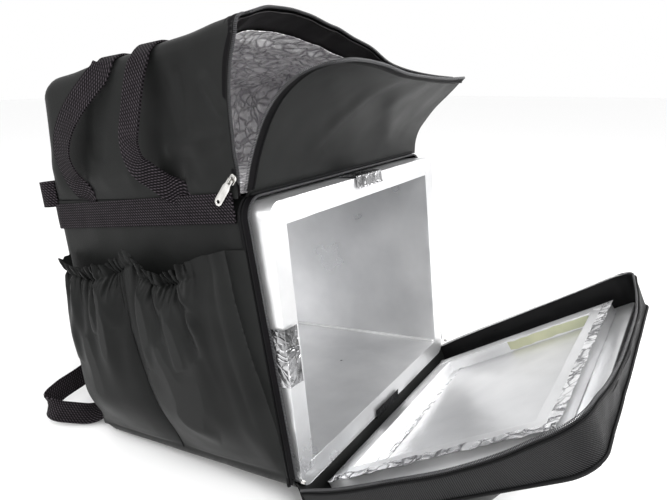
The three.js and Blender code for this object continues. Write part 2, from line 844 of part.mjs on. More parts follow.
// The gusset round the door: shares of the distance along each side, the height of its zip edge
// over the plug's face as a share of the gusset's rise, and its lean outward in clothThickness
const nearSide = [
  { away: 0, height: 1, lean: 0 },
  { away: 0.1, height: 0.45, lean: 0 },
  { away: 0.24, height: 0.05, lean: 0 },
  { away: 0.42, height: -0.12, lean: 0 },
  { away: 0.62, height: 0, lean: 0.5 },
  { away: 0.8, height: 0.3, lean: 1 },
  { away: 0.93, height: 1.3, lean: 2.5 },
  { away: 1, height: 2, lean: 3.5 },
];
const farEnd = [
  { away: 0, height: 2.35, lean: 5 },
  { away: 0.1, height: 1.9, lean: 5 },
  { away: 0.3, height: 1.25, lean: 4 },
  { away: 0.5, height: 0.7, lean: 4 },
  { away: 0.68, height: 0.4, lean: 4 },
  { away: 0.85, height: 0.8, lean: 3.5 },
  { away: 1, height: 1.6, lean: 2 },
];
const farSide = [
  { away: 0, height: 1, lean: 0 },
  { away: 0.15, height: 1.2, lean: 0 },
  { away: 0.5, height: 1.33, lean: 0 },
  { away: 0.9, height: 1.45, lean: 0 },
  { away: 1, height: 1.5, lean: 1 },
];

function gussetStations() {
  const stations = [];
  const straight = doorLength - doorCorner;
  const start = doorHingeMargin - gussetSetback;
  const add = (x, y, angle, { height, lean }) => stations.push({ x, y, angle, height, lean });
  for (const row of nearSide) {
    add(-halfWidth, mix(start, -straight, row.away), Math.PI, row);
  }
  const corner = (side, from, to) => {
    const steps = 4;
    for (let k = 1; k < steps; k += 1) {
      const share = k / steps;
      const turn = (share * Math.PI) / 2;
      const angle = side < 0 ? Math.PI + turn : 1.5 * Math.PI + turn;
      add(
        side * (halfWidth - doorCorner) + doorCorner * Math.cos(angle),
        doorCorner - doorLength + doorCorner * Math.sin(angle),
        angle,
        { height: mix(from.height, to.height, share), lean: mix(from.lean, to.lean, share) },
      );
    }
  };
  corner(-1, nearSide[nearSide.length - 1], farEnd[0]);
  for (const row of farEnd) {
    add(mix(doorCorner - halfWidth, halfWidth - doorCorner, row.away), -doorLength, 1.5 * Math.PI, row);
  }
  corner(1, farEnd[farEnd.length - 1], farSide[farSide.length - 1]);
  for (const row of [...farSide].reverse()) {
    add(halfWidth, mix(start, -straight, row.away), 2 * Math.PI, row);
  }
  return stations;
}

const gussetFoot = panelTop + seamGap;
const gussetLevels = [0, 0.33, 0.67, 1];
function gussetPoint({ x, y, angle, height, lean }, level) {
  const out = lean * clothThickness * smooth(level);
  const z = mix(gussetFoot, height * gussetRise, level);
  return point(x + out * Math.cos(angle), y + out * Math.sin(angle), z);
}
const gussetGrid = gussetLevels.map((level) => (
  gussetStations().map((station) => gussetPoint(station, level))
));
const gussetNormals = gridNormals(gussetGrid);

function doorGusset() {
  const settle = (p) => p.setZ(Math.max(p.z, gussetFoot));
  const geometry = layer(gussetGrid, gussetNormals, 0, clothThickness, settle);
  return part('door_gusset', geometry, colours.webbing);
}

// The door's half of the zip, a ridge along the gusset's free edge
function doorZip() {
  const top = gussetLevels.length - 1;
  const stations = gussetGrid[top].map((at, j) => ({
    at: at.clone().addScaledVector(gussetNormals[top][j], clothThickness / 2),
    along: at.clone().sub(gussetGrid[top - 1][j]).normalize(),
    out: gussetNormals[top][j].clone().negate(),
  }));
  const middle = seamGap + coilRadius + coilStandoff;
  const section = roundSection(coilRadius, 8).map(([a, b]) => [a + middle, b]);
  return part('door_zip_door', swept(stations, section), colours.zip);
}

function doorBoard() {
  const half = plugWidth / 2 + boardMargin;
  const end = -plugLength - boardMargin;
  const shape = roundedRectangle(-half, half, end, boardHingeMargin, boardCorner);
  const low = panelTop + seamGap;
  return part('door_board', planExtrusion(shape, low, low + boardThickness), colours.foil);
}

function doorPlug() {
  const half = plugWidth / 2;
  const outer = roundedRectangle(-half, half, -plugLength, 0, boxInnerCorner);
  const inner = roundedRectangle(plugWall - half, half - plugWall, plugWall - plugLength, -plugWall,
    boxInnerCorner);
  const low = panelTop + 2 * seamGap + boardThickness;
  const ring = solid(planExtrusion(outer, low, low + plugHeight))
    .subtract(solid(planExtrusion(inner, low - plugHeight, low + 2 * plugHeight)));
  return part('door_plug', geometryOf(ring), colours.foil);
}

// The pouch on the door's outer face is slack and props the open door up from the ground.
// Shares of its length and of its half width against shares of its depth
const pouchLengthwise = [
  { away: 0, depth: 0 },
  { away: 0.1, depth: 0.55 },
  { away: 0.24, depth: 0.95 },
  { away: 0.38, depth: 1 },
  { away: 0.54, depth: 0.84 },
  { away: 0.7, depth: 0.62 },
  { away: 0.82, depth: 0.42 },
  { away: 0.92, depth: 0.22 },
  { away: 1, depth: 0 },
];
const pouchCrosswise = [
  { across: -1, depth: 0 },
  { across: -0.95, depth: 0.42 },
  { across: -0.82, depth: 0.78 },
  { across: -0.5, depth: 0.97 },
  { across: 0, depth: 1 },
  { across: 0.5, depth: 0.97 },
  { across: 0.82, depth: 0.78 },
  { across: 0.95, depth: 0.42 },
  { across: 1, depth: 0 },
];

// The ground under the leaning bag: it touches the shell's rear rounding and the door's hinge edge
const hingeCorner = (() => {
  const corner = point(0, doorHingeMargin, panelBottom);
  corner.applyAxisAngle(point(1, 0, 0), -doorTilt);
  return corner.add(point(0, -doorSetForward, -doorSetDown));
})();
const lean = (() => {
  const back = shellBack - rearBottomRadius - hingeCorner.y;
  const up = shellBottom + rearBottomRadius - hingeCorner.z;
  return Math.atan2(up, back) - Math.asin(rearBottomRadius / Math.hypot(up, back));
})();
const groundSlope = Math.tan(lean);
const groundAt = (y) => hingeCorner.z + groundSlope * (y - hingeCorner.y);
const pouchLength = pouchEnd - pouchStart;
const pouchDepth = (() => {
  const slope = Math.tan(doorTilt + lean);
  const room = pouchLengthwise.filter(({ depth }) => depth > 0).map(({ away, depth }) => (
    ((pouchStart + away * pouchLength + doorHingeMargin) * slope) / depth
  ));
  return Math.min(...room) - seamGap;
})();

function doorPouch() {
  const rim = panelBottom - seamGap;
  const grid = pouchLengthwise.map(({ away, depth }) => pouchCrosswise.map((column) => point(
    column.across * pouchHalfWidth,
    -pouchStart - away * pouchLength,
    rim - depth * column.depth * pouchDepth,
  )));
  const settle = (p) => p.setZ(Math.min(p.z, rim));
  const normals = gridNormals(grid);
  const middle = normals[Math.floor(normals.length / 2)];
  const inward = Math.sign(middle[Math.floor(middle.length / 2)].z) * clothThickness;
  return part('door_pouch', layer(grid, normals, 0, inward, settle), colours.nylon);
}

function door() {
  const group = new THREE.Group();
  group.add(doorPanel(), doorGusset(), doorZip(), doorPouch());
  const insulation = new THREE.Group();
  insulation.add(doorBoard(), doorPlug());
  insulation.position.x = boardShift;
  group.add(insulation);
  group.position.set(0, -doorSetForward, -doorSetDown);
  group.rotation.x = -doorTilt;
  return group;
}

// The cloth hinge hangs from the shell's lower front edge down to the door panel's edge
function hingeStrip() {
  const half = clothThickness / 2;
  const rows = [
    { forward: 0, down: 0 },
    { forward: 0.3, down: 0.4 },
    { forward: 0.62, down: 0.76 },
    { forward: 1, down: 1 },
  ];
  const startY = frontEdge(shellBottom) - seamGap - half;
  const startZ = shellBottom + baseThickness / 2;
  const endY = hingeCorner.y + doorPanelThickness * Math.sin(doorTilt);
  const edgeTop = hingeCorner.z + doorPanelThickness * Math.cos(doorTilt);
  const endZ = edgeTop + half * Math.tan(doorTilt) + seamGap;
  const stations = rows.map(({ forward, down }) => ({
    at: point(0, mix(startY, endY, forward), mix(startZ, endZ, down)),
    along: point(1, 0, 0),
    out: point(0, 1, 0),
  }));
  const geometry = swept(stations, flatSection(2 * (halfWidth - shellCorner), clothThickness));
  return part('hinge_strip', geometry, colours.nylon);
}

// Webbing, straps and pockets

// The band runs along both sides and round the rear, and drops towards the rear
function sideBand() {
  const out = seamGap + webbingThickness / 2;
  const half = halfWidth + out;
  const back = shellBack + out;
  const radius = rearCorner + out;
  const front = frontEdgeTop + 2 * pipingRadius;
  const dropAt = (y) => bandDrop * clamp((y - front) / (back - front), 0, 1);
  const steps = 4;
  const left = [];
  for (let k = 0; k <= steps; k += 1) {
    left.push({ x: -half, y: mix(front, back - radius, k / steps), angle: Math.PI });
  }
  for (let k = 1; k <= steps; k += 1) {
    const angle = Math.PI - ((k / steps) * Math.PI) / 2;
    left.push({
      x: radius - half + radius * Math.cos(angle),
      y: back - radius + radius * Math.sin(angle),
      angle,
    });
  }
  const right = left.map(({ x, y, angle }) => ({ x: -x, y, angle: Math.PI - angle })).reverse();
  const stations = [...left, ...right].map(({ x, y, angle }) => ({
    at: point(x, y, shellTop - bandHeight / 2 - dropAt(y)),
    along: point(0, 0, 1),
    out: point(Math.cos(angle), Math.sin(angle), 0),
  }));
  return part('side_band', swept(stations, flatSection(bandHeight, webbingThickness)), colours.webbing);
}

// The roof's height at a place, for what lies on it
function roofHeight(x, y) {
  const across = clamp((x + halfWidth) / (2 * halfWidth), 0, 1);
  const rear = hoodBack(hoodFoot + hoodRearRise) - hoodRearRound;
  const back = clamp((y + hoodFrontReach) / (rear + hoodFrontReach), 0, 1);
  return hoodFoot + roofRise(back) + roofDrop(across) * frontFade(back);
}

// One carry handle: two legs up the side and a grip that has flopped down on the roof.
// Shares of the standoff, of the bag's depth and of the wall's height
const handleLeg = [
  { out: 0.06, up: 0.02, front: 0.24, rear: 0.72 },
  { out: 0.16, up: 0.08, front: 0.255, rear: 0.725 },
  { out: 0.6, up: 0.22, front: 0.31, rear: 0.745 },
  { out: 0.95, up: 0.38, front: 0.4, rear: 0.76 },
  { out: 0.95, up: 0.56, front: 0.41, rear: 0.72 },
  { out: 0.6, up: 0.77, front: 0.375, rear: 0.635 },
];

function handle(name, side) {
  const depthAt = (share) => mix(frontEdgeTop, shellBack, share);
  const onRoof = webbingThickness / 2 + handleEase;
  const grip = halfWidth - handleReach;
  const bend = handleWidth * 0.8;
  const turned = hoodBend / 4;
  const legPoints = (key) => handleLeg.map((row) => point(
    -halfWidth - seamGap - webbingThickness / 2 - row.out * handleStandoff,
    depthAt(row[key]),
    hoodFoot + row.up * hoodRise,
  ));
  const roofPoint = (x, y, lift) => point(-x, y, roofHeight(-x, y) + onRoof + lift * handleLift);
  const over = (y) => [
    point(-halfWidth - turned, y, roofHeight(-halfWidth, y) - turned),
    roofPoint(halfWidth - 3 * turned, y, 1),
    roofPoint(mix(halfWidth, grip, 0.5), y, 0.3),
  ];
  const bendAt = (y, sign) => [0, 1, 2, 3].map((k) => {
    const angle = ((k / 3) * Math.PI) / 2;
    const x = grip + bend - bend * Math.sin(angle);
    return roofPoint(x, y + sign * (bend - bend * Math.cos(angle)), 0);
  });
  const front = depthAt(gripFront);
  const rear = depthAt(gripRear);
  const centre = [
    ...legPoints('front'),
    ...over(front),
    ...bendAt(front, 1),
    ...bendAt(rear, -1).reverse(),
    ...over(rear).reverse(),
    ...legPoints('rear').reverse(),
  ];
  const curve = curveThrough(centre);
  const steps = 46;
  const stations = [];
  for (let k = 0; k <= steps; k += 1) {
    const at = curve.getPointAt(k / steps);
    const forward = curve.getTangentAt(k / steps);
    const lying = smooth((at.x + halfWidth) / hoodBend + 0.4);
    const outward = point(-(1 - lying), 0, lying).normalize();
    const along = outward.clone().cross(forward).normalize();
    stations.push({ at, along, out: forward.clone().cross(along).normalize() });
  }
  const geometry = swept(stations, flatSection(handleWidth, webbingThickness));
  return part(name, side < 0 ? geometry : mirrored(geometry), colours.webbing);
}

// Gathered side pocket with a seam down its middle: the ruffled upper edge, as shares of the
// pocket's length and height, then the depth of its bulge up the pocket
const pocketEdge = [
  { along: 0, up: 1.11 },
  { along: 0.14, up: 1.07 },
  { along: 0.24, up: 1.02 },
  { along: 0.36, up: 1 },
  { along: 0.46, up: 1.04 },
  { along: 0.55, up: 1.09 },
  { along: 0.68, up: 1.03 },
  { along: 0.8, up: 0.98 },
  { along: 0.9, up: 1.01 },
  { along: 1, up: 1.03 },
];
const pocketRise = [
  { up: 0, bulge: 0 },
  { up: 0.12, bulge: 0.5 },
  { up: 0.3, bulge: 0.9 },
  { up: 0.5, bulge: 1 },
  { up: 0.7, bulge: 0.9 },
  { up: 0.86, bulge: 0.62 },
  { up: 0.95, bulge: 0.4 },
  { up: 1, bulge: 0.44 },
];
const pocketSeam = 0.53;
const pocketFoldsPerHalf = 4;
const pocketFoldsFrom = 0.35;

function pocketSheet() {
  const frontSetback = 2 * pipingRadius;
  const rear = shellBack - rearCorner;
  const footRear = shellBottom + rearBottomRadius / 2;
  const flat = halfWidth + seamGap + pocketClothThickness;
  const grid = [];
  for (const { up, bulge } of pocketRise) {
    const row = [];
    for (let j = 0; j <= pocketColumns; j += 1) {
      const along = j / pocketColumns;
      const second = along > pocketSeam;
      const half = second ? (along - pocketSeam) / (1 - pocketSeam) : along / pocketSeam;
      const belly = Math.max(Math.sin(Math.PI * half), 0) ** 0.6;
      const foot = mix(pocketFootFront, footRear, along);
      const top = pocketHeight * lookUp(pocketEdge, 'along', along, 'up');
      const z = mix(foot, top, up);
      const wave = Math.cos(2 * Math.PI * pocketFoldsPerHalf * half);
      const gather = wave * smooth((up - pocketFoldsFrom) / (1 - pocketFoldsFrom));
      const ends = Math.min(1, 8 * Math.min(along, 1 - along));
      const mouth = pocketMouth * smooth(up * 3) * ends;
      const depth = mouth + belly * (bulge * pocketBulge + gather * pocketGather);
      row.push(point(-flat - depth, mix(frontEdge(z) + frontSetback, rear, along), z));
    }
    grid.push(row);
  }
  return grid;
}

function sidePocket(name, side) {
  const grid = pocketSheet();
  const normals = gridNormals(grid);
  const middle = normals[Math.floor(normals.length / 2)];
  const inward = Math.sign(middle[Math.floor(middle.length / 4)].x) * pocketClothThickness;
  const settle = (p) => p.setX(Math.min(p.x, -halfWidth - seamGap));
  const geometry = layer(grid, normals, 0, inward, settle);
  return part(name, side < 0 ? geometry : mirrored(geometry), colours.nylon);
}

// A folded webbing tab at each rear corner, above the band
function cornerTab(name, side) {
  const centreX = rearCorner - halfWidth;
  const centreY = shellBack - rearCorner;
  const chord = rearCorner * Math.cos(Math.PI / 8);
  const start = chord + 3 * seamGap + webbingThickness / 2;
  const place = (angle, distance) => {
    const turn = THREE.MathUtils.degToRad(tabCentreAngle + angle);
    return point(centreX - distance * Math.cos(turn), centreY + distance * Math.sin(turn), 0);
  };
  const path = [
    place(-22, start),
    place(-12, start + tabReach * 0.6),
    place(0, start + tabReach),
    place(12, start + tabReach * 0.6),
    place(22, start),
  ];
  const low = shellTop - 0.9 * bandDrop + seamGap + tabHeight / 2;
  const stations = path.map((at, k) => {
    const before = path[Math.max(k - 1, 0)];
    const after = path[Math.min(k + 1, path.length - 1)];
    const forward = after.clone().sub(before).normalize();
    return { at: at.setZ(low), along: point(0, 0, 1), out: point(-forward.y, forward.x, 0) };
  });
  const geometry = swept(stations, flatSection(tabHeight, webbingThickness));
  return part(name, side < 0 ? geometry : mirrored(geometry), colours.webbing);
}

// Shoulder straps: a padded strap down the back and a plain tail that loops on the ground.
// Shares of half the bag's width, of the strap's reach behind the bag and of the bag's height,
// and how far the strap's width has turned from lying across to standing upright
const strapRows = [
  { across: 0.36, behind: 0, up: 1.27, turn: 0 },
  { across: 0.362, behind: 0.01, up: 1.235, turn: 0 },
  { across: 0.365, behind: 0.03, up: 1.2, turn: 0 },
  { across: 0.38, behind: 0.3, up: 1.08, turn: 0 },
  { across: 0.42, behind: 0.8, up: 0.9, turn: 0 },
  { across: 0.48, behind: 1, up: 0.66, turn: 0 },
  { across: 0.54, behind: 1, up: 0.42, turn: 0 },
  { across: 0.57, behind: 1, up: 0.34, turn: 0 },
  { across: 0.58, behind: 1, up: 0.27, turn: 0 },
];
const tailRows = [
  { across: 0.61, behind: 0.74, rise: 1.08, turn: 0.25 },
  { across: 0.69, behind: 0.86, rise: 0.8, turn: 0.65 },
  { across: 0.84, behind: 0.95, rise: 0.62, turn: 0.95 },
  { across: 1, behind: 1, rise: 0.5, turn: 1 },
  { across: 1.09, behind: 0.96, rise: 0.4, turn: 0.95 },
  { across: 1.1, behind: 0.78, rise: 0.3, turn: 0.8 },
  { across: 1.04, behind: 0.5, rise: 0.22, turn: 0.55 },
  { across: 0.95, behind: 0.25, rise: 0.15, turn: 0.35 },
  { across: 0.87, behind: 0.12, rise: 0.22, turn: 0.1 },
  { across: 0.84, behind: 0.03, rise: 0.45, turn: 0 },
  { across: 0.84, behind: 0.004, rise: 0.7, turn: 0 },
];

function strapSolid(centre, turns, width, thickness, steps) {
  const curve = curveThrough(centre);
  const stations = [];
  for (let k = 0; k <= steps; k += 1) {
    const share = k / steps;
    const at = curve.getPoint(share);
    const forward = curve.getTangent(share);
    const row = share * (turns.length - 1);
    const first = Math.min(Math.floor(row), turns.length - 2);
    const turn = (mix(turns[first], turns[first + 1], row - first) * Math.PI) / 2;
    const upright = point(0, groundSlope, 1).normalize();
    const along = point(Math.cos(turn), 0, 0).addScaledVector(upright, Math.sin(turn));
    along.addScaledVector(forward, -along.dot(forward)).normalize();
    stations.push({ at, along, out: forward.clone().cross(along).normalize() });
  }
  return swept(stations, flatSection(width, thickness));
}

const strapCentre = strapRows.map(({ across, behind, up }) => {
  const z = up * shellHeight;
  const wall = z > hoodFoot ? hoodBack(z) : shellBack;
  const rest = strapThickness / 2 + seamGap;
  return point(-across * halfWidth, wall + rest + behind * strapReach, z);
});

function shoulderStrap(name, side) {
  const turns = strapRows.map(({ turn }) => turn);
  const geometry = strapSolid(strapCentre, turns, strapWidth, strapThickness, 14);
  return part(name, side < 0 ? geometry : mirrored(geometry), colours.padding);
}

// The tail starts under the padded strap's lower end, sewn to the side that faces the bag
function strapTail(name, side) {
  const end = strapCentre[strapCentre.length - 1];
  const behindStrap = (strapThickness + tailThickness) / 2 + seamGap;
  const sewn = [1, 0.5, 0, -0.3].map((share) => (
    end.clone().add(point(0, -behindStrap, share * tailOverlap))
  ));
  const rest = tailThickness / 2 + tailClearance;
  const loose = tailRows.map(({ across, behind, rise }) => {
    const y = shellBack + seamGap + tailThickness / 2 + behind * tailReach;
    return point(-across * halfWidth, y, groundAt(y) + rest + rise * 2 * tailWidth);
  });
  const turns = [...sewn.map(() => 0), ...tailRows.map(({ turn }) => turn)];
  const geometry = strapSolid([...sewn, ...loose], turns, tailWidth, tailThickness, 36);
  return part(name, side < 0 ? geometry : mirrored(geometry), colours.nylon);
}

// Zip slider at the foot of the upper zip, with a pull that swings on its bail.
// Drawn flat: x along the slider, y across it and z out from the cloth
const pivotHeight = sliderThickness + bailHeight - bailBar - pullClearance;
const box = (x0, x1, y0, y1, z0, z1) => {
  const shape = new THREE.BoxGeometry(x1 - x0, y1 - y0, z1 - z0);
  return solid(shape.translate((x0 + x1) / 2, (y0 + y1) / 2, (z0 + z1) / 2));
};

function zipSlider() {
  const half = sliderLength / 2;
  const outline = roundedRectangle(-half, half, -sliderWidth / 2, sliderWidth / 2, sliderWidth / 3);
  const post = bailBar / 2;
  const top = sliderThickness + bailHeight;
  const reach = sliderLength / 3;
  const body = solid(planExtrusion(outline, 0, sliderThickness))
    .add(box(-reach, bailBar - reach, -post, post, sliderThickness - bailRoot, top))
    .add(box(reach - bailBar, reach, -post, post, sliderThickness - bailRoot, top))
    .add(box(-reach, reach, -post, post, top - bailBar, top));
  return part('zip_slider', geometryOf(body), colours.nickel);
}

function zipPull() {
  const wire = pullThickness / 2;
  const eyeOuter = pullEyeWidth / 2 + pullThickness;
  const eyeLength = sliderLength / 2;
  const half = pullWidth / 2;
  const outline = new THREE.Shape();
  outline.moveTo(-wire, -eyeOuter);
  outline.lineTo(eyeLength, -eyeOuter);
  outline.lineTo(eyeLength + half, -half);
  outline.lineTo(pullLength - half, -half);
  outline.absarc(pullLength - half, 0, half, -Math.PI / 2, Math.PI / 2, false);
  outline.lineTo(eyeLength + half, half);
  outline.lineTo(eyeLength, eyeOuter);
  outline.lineTo(-wire, eyeOuter);
  const plate = solid(planExtrusion(outline, -wire, wire));
  const eye = box(wire, eyeLength, -pullEyeWidth / 2, pullEyeWidth / 2, -pullLength, pullLength);
  const bore = new THREE.CylinderGeometry(pullHoleRadius, pullHoleRadius, pullLength, 12);
  const hole = solid(bore.rotateX(Math.PI / 2).translate(pullLength - half, 0, 0));
  const pull = part('zip_pull', geometryOf(plate.subtract(eye).subtract(hole)), colours.nickel);
  pull.position.z = pivotHeight;
  return pull;
}

function sliderAssembly() {
  const group = new THREE.Group();
  const turn = THREE.MathUtils.degToRad(sliderAngle);
  const along = point(0, Math.cos(turn), -Math.sin(turn));
  const out = point(-1, 0, 0);
  const across = out.clone().cross(along);
  group.matrixAutoUpdate = false;
  group.matrix.makeBasis(along, across, out);
  const depth = frontEdgeTop + sliderSetback;
  group.matrix.setPosition(-halfWidth - 2 * seamGap, depth, hoodFoot + sliderRise);
  group.add(zipSlider(), zipPull());
  return group;
}

const bag = new THREE.Group();
bag.add(lowerShell(), foamBox(), ...clips.map(rimClip), shellPiping(), shellZip());
bag.add(zipStop('zip_stop_left', -1), zipStop('zip_stop_right', 1), hingeStrip(), door());
bag.add(upperShell(), upperFacing(), upperLining(), upperZip(), frontFlap(), flapZip());
bag.add(sliderAssembly(), sideBand());
for (const [word, side] of [['left', -1], ['right', 1]]) {
  bag.add(handle(`handle_${word}`, side), sidePocket(`side_pocket_${word}`, side));
  bag.add(cornerTab(`corner_tab_${word}`, side), shoulderStrap(`shoulder_strap_${word}`, side));
  bag.add(strapTail(`strap_tail_${word}`, side));
}

// Lean the bag back until it stands on its rear edge and the door's hinge edge
bag.rotation.x = -lean;
bag.updateMatrixWorld(true);
const reach = new THREE.Box3().setFromObject(bag, true);
const middle = reach.getCenter(point(0, 0, 0));
bag.position.set(-middle.x, -middle.y, -reach.min.z);

const backpack = new THREE.Group();
backpack.add(bag);
export default backpack;
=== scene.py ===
"""Insulated delivery backpack, standing open: cloth, webbing, foil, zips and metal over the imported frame."""
import math

import bpy
import numpy as np
from mathutils import Matrix, Vector


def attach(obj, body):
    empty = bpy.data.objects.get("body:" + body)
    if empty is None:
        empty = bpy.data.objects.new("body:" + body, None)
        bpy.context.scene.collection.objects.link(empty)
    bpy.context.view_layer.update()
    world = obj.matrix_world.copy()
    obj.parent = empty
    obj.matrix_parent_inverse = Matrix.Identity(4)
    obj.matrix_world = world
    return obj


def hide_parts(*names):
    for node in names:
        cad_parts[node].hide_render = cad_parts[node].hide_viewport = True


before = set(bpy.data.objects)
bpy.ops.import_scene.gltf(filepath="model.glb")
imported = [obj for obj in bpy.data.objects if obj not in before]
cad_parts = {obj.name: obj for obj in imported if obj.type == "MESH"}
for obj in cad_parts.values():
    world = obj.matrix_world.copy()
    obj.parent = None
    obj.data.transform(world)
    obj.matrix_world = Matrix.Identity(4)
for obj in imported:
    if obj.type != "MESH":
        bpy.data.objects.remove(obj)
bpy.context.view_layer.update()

# Main sizes in millimetres, in the bag's own frame: x to the right, y to the rear, z up
BOX_WIDTH = 430.0
BOX_HEIGHT = 340.0
BOX_BACK = 322.0
BOX_FRONT = -26.0
BOX_WALL = 27.0
HALF = 221.0
SHELL_BOTTOM = -5.3
SHELL_TOP = 346.0
SHELL_BACK = 346.3
SHELL_CORNER = 24.0
REAR_CORNER = 25.0
REAR_BOTTOM = 38.0
EDGE_TOP = 5.0
EDGE_BOTTOM = -19.0
HOOD_FOOT = 346.3
HOOD_BACK_FOOT = 342.3
HOOD_RISE = 181.0
HOOD_REAR_RISE = 152.0
HOOD_FRONT = 20.0
HOOD_BEND = 16.0
HOOD_BACK_LEAN = 20.0
HOOD_REAR_ROUND = 45.0
HOOD_LIFT = 14.0
EAR_DROP = 70.0
EAR_REACH = 74.0
FACING_SHARE = 0.08
FLAP_REACH = 131.0
FLAP_RISE = 122.0
FLAP_CORNER = 40.0
DOOR_LENGTH = 320.0
DOOR_CORNER = 32.0
DOOR_HINGE = 27.0
GUSSET_BASE = 29.0
GUSSET_RISE = 15.0
GUSSET_SETBACK = 11.0
PLUG_WIDTH = 370.0
PLUG_LENGTH = 282.0
PLUG_WALL = 26.0
PLUG_HEIGHT = 18.0
BOARD_THICKNESS = 10.0
BOARD_SHIFT = 6.0
DOOR_TILT = math.radians(26.9)
DOOR_PLACE = np.array([0.0, -47.7, -1.8])

# The bag leans back on its rear edge, and its frame's middle is moved over the ground
LEAN = math.radians(5.96625548875)
BAG_SHIFT = np.array([0.0, -54.14507, 37.55541])


def to_world(points):
    """Points of the bag's own frame in millimetres, as metres on the ground."""
    p = np.asarray(points, float)
    c, s = math.cos(LEAN), math.sin(LEAN)
    turned = np.stack([p[..., 0], p[..., 1] * c + p[..., 2] * s, p[..., 2] * c - p[..., 1] * s], -1)
    return (turned + BAG_SHIFT) / 1000.0


def from_world(points):
    """Points in metres over the ground, back in the bag's own frame."""
    p = np.asarray(points, float) * 1000 - BAG_SHIFT
    c, s = math.cos(LEAN), math.sin(LEAN)
    return np.stack([p[..., 0], p[..., 1] * c - p[..., 2] * s, p[..., 2] * c + p[..., 1] * s], -1)


def from_door(points):
    """Points of the flat door, moved to where the open door hangs in the bag's own frame."""
    p = np.asarray(points, float)
    c, s = math.cos(DOOR_TILT), math.sin(DOOR_TILT)
    turned = np.stack([p[..., 0], p[..., 1] * c + p[..., 2] * s, p[..., 2] * c - p[..., 1] * s], -1)
    return turned + DOOR_PLACE


# Numbers, tables and noise

def mix(a, b, share):
    return a + (b - a) * share


def smooth(x):
    x = np.clip(x, 0.0, 1.0)
    return x * x * (3.0 - 2.0 * x)


def profile(table, x):
    """A smooth value through the rows of a short table of (place, value)."""
    xs = np.array([row[0] for row in table], float)
    ys = np.array([row[1] for row in table], float)
    h = np.diff(xs)
    d = np.diff(ys) / h
    slope = np.zeros(len(xs))
    slope[0], slope[-1] = d[0], d[-1]
    same = d[:-1] * d[1:] > 0
    total = np.where(same, d[:-1] + d[1:], 1.0)
    slope[1:-1] = np.where(same, 2.0 * d[:-1] * d[1:] / total, 0.0)
    x = np.clip(np.asarray(x, float), xs[0], xs[-1])
    i = np.clip(np.searchsorted(xs, x, side="right") - 1, 0, len(h) - 1)
    t = (x - xs[i]) / h[i]
    a = (1 + 2 * t) * (1 - t) ** 2 * ys[i] + t * (1 - t) ** 2 * h[i] * slope[i]
    b = t * t * (3 - 2 * t) * ys[i + 1] + t * t * (t - 1) * h[i] * slope[i + 1]
    return a + b


def noise(points, size, seed=0):
    """Smooth noise from -1 to 1 whose bumps are about size apart."""
    q = np.asarray(points, float) / size + 31.7 * seed
    cell = np.floor(q).astype(np.int64)
    f = q - cell
    f = f * f * (3.0 - 2.0 * f)
    out = np.zeros(q.shape[:-1])
    for dx in (0, 1):
        for dy in (0, 1):
            for dz in (0, 1):
                mixed = (cell[..., 0] + dx) * 73856093
                mixed = mixed ^ ((cell[..., 1] + dy) * 19349663)
                mixed = mixed ^ ((cell[..., 2] + dz) * 83492791)
                mixed = (mixed ^ (mixed >> 13)) * 1274126177 & 0x7FFFFFFF
                value = (mixed % 10007) / 5003.5 - 1.0
                wx = f[..., 0] if dx else 1 - f[..., 0]
                wy = f[..., 1] if dy else 1 - f[..., 1]
                wz = f[..., 2] if dz else 1 - f[..., 2]
                out += value * wx * wy * wz
    return out


def creases(points, size, seed=0):
    """Sharp folds: 1 along thin lines that wander, falling to 0 between them."""
    return 1.0 - np.abs(noise(points, size, seed)) * 2.0


# Grids of points and the meshes made of them

def grid_normals(grid):
    along = np.gradient(grid, axis=1)
    up = np.gradient(grid, axis=0)
    normal = np.cross(along, up)
    length = np.linalg.norm(normal, axis=-1, keepdims=True)
    return normal / np.maximum(length, 1e-9)


def spaced(low, high, step):
    return np.linspace(low, high, max(2, int(round(abs(high - low) / step)) + 1))


def catmull(points, per_span):
    """A smooth curve through points, with per_span points from each one to the next."""
    p = np.asarray(points, float)
    p = np.vstack([2 * p[0] - p[1], p, 2 * p[-1] - p[-2]])
    knots = [0.0]
    for a, b in zip(p[:-1], p[1:]):
        knots.append(knots[-1] + max(np.linalg.norm(b - a), 1e-6) ** 0.5)
    out = []
    for k in range(1, len(p) - 2):
        t0, t1, t2, t3 = knots[k - 1:k + 3]
        last = k == len(p) - 3
        for t in np.linspace(t1, t2, per_span + (1 if last else 0), endpoint=last):
            a1 = (t1 - t) / (t1 - t0) * p[k - 1] + (t - t0) / (t1 - t0) * p[k]
            a2 = (t2 - t) / (t2 - t1) * p[k] + (t - t1) / (t2 - t1) * p[k + 1]
            a3 = (t3 - t) / (t3 - t2) * p[k + 1] + (t - t2) / (t3 - t2) * p[k + 2]
            b1 = (t2 - t) / (t2 - t0) * a1 + (t - t0) / (t2 - t0) * a2
            b2 = (t3 - t) / (t3 - t1) * a2 + (t - t1) / (t3 - t1) * a3
            out.append((t2 - t) / (t2 - t1) * b1 + (t - t1) / (t2 - t1) * b2)
    return np.array(out)


def evenly(path, step):
    """A path's points taken again at even distances, about step apart."""
    path = np.asarray(path, float)
    reach = np.concatenate([[0.0], np.cumsum(np.linalg.norm(np.diff(path, axis=0), axis=1))])
    at = spaced(0.0, reach[-1], step)
    return np.stack([np.interp(at, reach, path[:, k]) for k in range(3)], 1)


